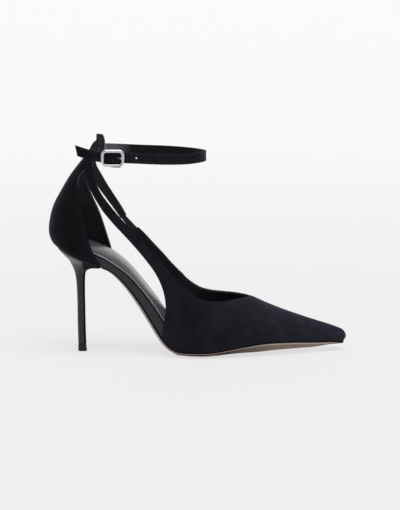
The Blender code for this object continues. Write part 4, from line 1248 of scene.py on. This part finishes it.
def sewStrap():
    bm = bmesh.new()
    inset = strapLook["seamInset"] / strapLook["width"]
    for v in (inset, 1 - inset):
        def seamSpot(t):
            start, length = strapLook["sewn"]
            u = start + length * t
            middle = strapSpot(u, v, 0.5)
            outer = strapSpot(u, v, 0.0)
            return outer, unit(outer - middle)

        sewLine(bm, seamSpot, samples=700)
    addPiece("strapStitches", bm, (thread,), "suede")


makeStrap()
sewStrap()
print("ankle strap done")

# keeper loop: a folded strip seen on edge, its layers parted by grooves, with a slot for the strap
loopLook = {
    "rows": (  # z, back x, front x
        (157.6, 33.2, 36.8), (160.4, 33.4, 39.4), (162.4, 33.4, 43.4), (162.5, 30.2, 43.6),
        (166.0, 32.6, 45.8), (169.5, 34.9, 46.7), (172.0, 36.1, 47.0), (174.4, 37.7, 47.1),
        (175.7, 39.9, 47.0), (178.4, 40.5, 46.4), (180.1, 41.0, 45.6), (180.9, 41.9, 43.8),
    ),
    "width": 9.4, "slotBack": 40.3, "slotFront": 42.8, "slotLow": 163.5, "slotTop": 172.5,
    "slotAcross": (0.5, 0.7), "slotMost": (0.6, 0.85), "steps": (24, 30, 24), "across": 60,
    "layer": 1.75, "grooveDepth": 0.7, "grooveWidth": 0.4, "round": (0.45, 2, 55),
}


def makeLoop():
    look = loopLook
    table = np.array(look["rows"])
    levels = (table[0, 0], look["slotLow"], look["slotTop"], table[-1, 0])
    spans = zip(levels, levels[1:], look["steps"])
    heights = [np.linspace(low, high, count + 1)[:-1] for low, high, count in spans]
    heights = np.concatenate((*heights, levels[-1:]))
    steps = len(heights) - 1
    slotStart, slotEnd = look["slotAcross"]
    backMost, frontMost = look["slotMost"]

    def place(u, v, w):
        z = heights[round(u * steps)]
        back, front = (float(np.interp(z, table[:, 0], table[:, k])) for k in (1, 2))
        slotBack = min(look["slotBack"], back + backMost * (front - back))
        slotFront = min(look["slotFront"], back + frontMost * (front - back))
        x = float(np.interp(v, (0.0, slotStart, slotEnd, 1.0), (back, slotBack, slotFront, front)))
        edges = [x - back - look["layer"], x - back - 2 * look["layer"], front - x - look["layer"]]
        groove = sum(math.exp(-(edge / look["grooveWidth"]) ** 2) for edge in edges)
        half = look["width"] / 2 - look["grooveDepth"] * min(1.0, groove)
        return (x, half * (2 * w - 1), z)

    def slot(u, v):
        z = np.interp(u * steps, np.arange(steps + 1), heights)
        return look["slotLow"] < z < look["slotTop"] and slotStart < v < slotEnd

    bm = bmesh.new()
    layBlock(bm, steps, look["across"], place, cut=slot)
    closeUp(bm)
    roundEdges(addPiece("foldedLoop", bm, (foldedEdge,), "suede", "back_loop"), *look["round"])


makeLoop()

# buckle: rounded silver wire with its bar behind the strap, and the pin resting on the front end
buckleLook = {
    "z": 163.9, "y": -33.75, "length": 16.5, "height": 11.6, "corner": 3.2, "cornerSteps": 12, "wire": 1.26,
    "barWire": 1.0, "barY": -28.85, "barSink": 0.2, "pinWire": 0.65, "heavyTop": 0.12, "thinBelow": 0.3,
    "pin": ((56.9, -28.9), (58.6, -29.5), (59.6, -31.2), (60.3, -33.3), (61.5, -35.0), (63.3, -35.85),
            (64.5, -35.7)),
    "frameMesh": (160, 24), "barMesh": (120, 20), "pinMesh": (60, 20), "weld": 0.002,
}


def makeBuckle():
    look = buckleLook
    reachX = look["length"] / 2 - look["corner"]
    reachZ = look["height"] / 2 - look["corner"]
    corners = []
    for corner, (signX, signZ) in enumerate(((1, 1), (-1, 1), (-1, -1), (1, -1))):
        for k in range(look["cornerSteps"] + 1):
            angle = math.pi / 2 * (corner + k / look["cornerSteps"])
            x = lastShape["buckleX"] + signX * reachX + look["corner"] * math.cos(angle)
            z = look["z"] + signZ * reachZ + look["corner"] * math.sin(angle)
            corners.append((x, look["y"], z))
    half = look["height"] / 2
    endY = look["y"] + look["barSink"]
    bar = [(lastShape["buckleX"], y, look["z"] + z)
           for y, z in ((endY, half), (look["barY"], half), (look["barY"], -half), (endY, -half))]

    def wireAt(point):
        rise = (point[2] - look["z"]) / half
        return look["wire"] + look["heavyTop"] * ease(rise) - look["thinBelow"] * ease(-rise)

    bm = bmesh.new()
    layTube(bm, *look["frameMesh"], polyPath(corners, True), (0.0, 1.0, 0.0), wireAt, True)
    # the bar is dark, as the strap's fold wraps it
    layTube(bm, *look["barMesh"], polyPath(bar), (1.0, 0.0, 0.0), look["barWire"], slot=1)
    closeUp(bm, look["weld"])
    addPiece("silverBuckle", bm, (silver, suede), "buckle_metal", "buckle_frame")

    def pinSpot(u):
        return np.array((*through(look["pin"], u), look["z"]))

    bm = bmesh.new()
    layTube(bm, *look["pinMesh"], pinSpot, (0.0, 0.0, 1.0), look["pinWire"])
    closeUp(bm, look["weld"])
    addPiece("silverPin", bm, (silver,), "buckle_metal", "buckle_prong")


makeBuckle()
print("loop and buckle done")

# studio: pale floor to the horizon, a surround that is white behind the shoe and dim before it, and a soft
# key light from above, a little to the front and right
studioLook = {
    "floor": (0.172, 0.1715, 0.171, 1.0), "floorFar": (0.252, 0.252, 0.252, 1.0), "floorGlow": 0.68,
    "floorFade": (0.3, 2.2), "floorSides": 96, "floorReach": 60.0, "floorRough": 0.9, "floorSpecular": 0.1,
    # round the ball the floor's glow is cut, a painted contact shadow
    "ball": (126.0, 0.0, 0.0), "ballSize": (24.0, 29.0), "ballEdge": (0.85, 1.05),
    "surroundFront": 0.22, "surroundBack": 0.97, "surroundTurn": (-0.35, 0.55),
    "surroundTop": 0.4, "surroundRise": (0.2, 0.55),
    "keyPower": 2.45, "keySpread": 50.0, "keyFrom": (0.15, -0.28, 0.95),
}
cameraLook = {"place": (125.4, -1584.43, 303.18), "tilt": 82.0, "lens": 136.09, "sensor": 36.0,
              "reach": 200.0}
black, white = (0.0, 0.0, 0.0, 1.0), (1.0, 1.0, 1.0, 1.0)


def addVector(tree, operation, a, b=None):
    node = tree.nodes.new('ShaderNodeVectorMath')
    node.operation = operation
    tree.links.new(a, node.inputs[0])
    if b is not None:
        node.inputs[1].default_value = b
    return node.outputs


def floorShare(tree, where, middle, scale, low, high):  # 0 near a place on the floor and 1 away from it
    offset = addVector(tree, 'SUBTRACT', where, middle)["Vector"]
    sized = addVector(tree, 'MULTIPLY', offset, scale)["Vector"]
    return addRange(tree, addVector(tree, 'LENGTH', sized)["Value"], low, high, 0.0, 1.0)


def makeFloor():
    look = studioLook
    bm = bmesh.new()
    bmesh.ops.create_circle(bm, cap_ends=True, segments=look["floorSides"], radius=look["floorReach"])
    floor = linkMesh("studioFloor", bm)
    material = bpy.data.materials.new("paleFloor")
    material.use_nodes = True
    tree = material.node_tree
    shader = tree.nodes["Principled BSDF"]
    shader.inputs["Roughness"].default_value = look["floorRough"]
    shader.inputs["Specular IOR Level"].default_value = look["floorSpecular"]
    shader.inputs["Emission Strength"].default_value = look["floorGlow"]   # as on a light table
    where = tree.nodes.new('ShaderNodeTexCoord').outputs["Object"]
    share = floorShare(tree, where, (0.0, 0.0, 0.0), (1.0, 1.0, 0.0), *look["floorFade"])
    colour = addBlend(tree, share, look["floor"], look["floorFar"])
    tree.links.new(colour, shader.inputs["Base Color"])
    ball = toFrame(look["ball"])   # painted contact shadow: where the sole covers the floor round the ball, it doesn't glow
    spread = [1 / (size * mm) for size in look["ballSize"]]
    lit = floorShare(tree, where, ball, (*spread, 0.0), *look["ballEdge"])
    tree.links.new(addBlend(tree, lit, black, white), shader.inputs["Emission Color"])
    floor.data.materials.append(material)


def makeSurround():
    look = studioLook
    world = bpy.data.worlds.new("studioSurround")
    world.use_nodes = True
    tree = world.node_tree
    backdrop = tree.nodes["Background"]
    backdrop.inputs["Color"].default_value = white
    spread = tree.nodes.new('ShaderNodeSeparateXYZ')
    tree.links.new(tree.nodes.new('ShaderNodeTexCoord').outputs["Generated"], spread.inputs["Vector"])
    front, back = look["surroundFront"], look["surroundBack"]
    turned = addRange(tree, spread.outputs["Y"], *look["surroundTurn"], front, back)
    dimmed = addRange(tree, spread.outputs["Z"], *look["surroundRise"], 1.0, look["surroundTop"])
    tree.links.new(addMath(tree, 'MULTIPLY', turned, dimmed), backdrop.inputs["Strength"])
    bpy.context.scene.world = world


def addKeyLight():
    data = bpy.data.lights.new("softKey", 'SUN')
    data.energy = studioLook["keyPower"]
    data.angle = math.radians(studioLook["keySpread"])
    light = bpy.data.objects.new("softKey", data)
    light.rotation_euler = (-Vector(studioLook["keyFrom"])).to_track_quat('-Z', 'Y').to_euler()
    bpy.context.scene.collection.objects.link(light)


def makeStudio():
    scene = bpy.context.scene
    makeFloor()
    makeSurround()
    addKeyLight()
    data = bpy.data.cameras.new("photoView")
    data.lens = cameraLook["lens"]
    data.sensor_width = cameraLook["sensor"]
    data.sensor_fit = 'AUTO'
    data.clip_end = cameraLook["reach"]
    camera = bpy.data.objects.new("photoView", data)
    camera.location = toFrame(cameraLook["place"])
    camera.rotation_euler = (math.radians(cameraLook["tilt"]), 0.0, 0.0)
    scene.collection.objects.link(camera)
    scene.camera = camera
    scene.view_settings.view_transform = 'Standard'
    scene.view_settings.look = 'None'


makeStudio()
print("studio ready")
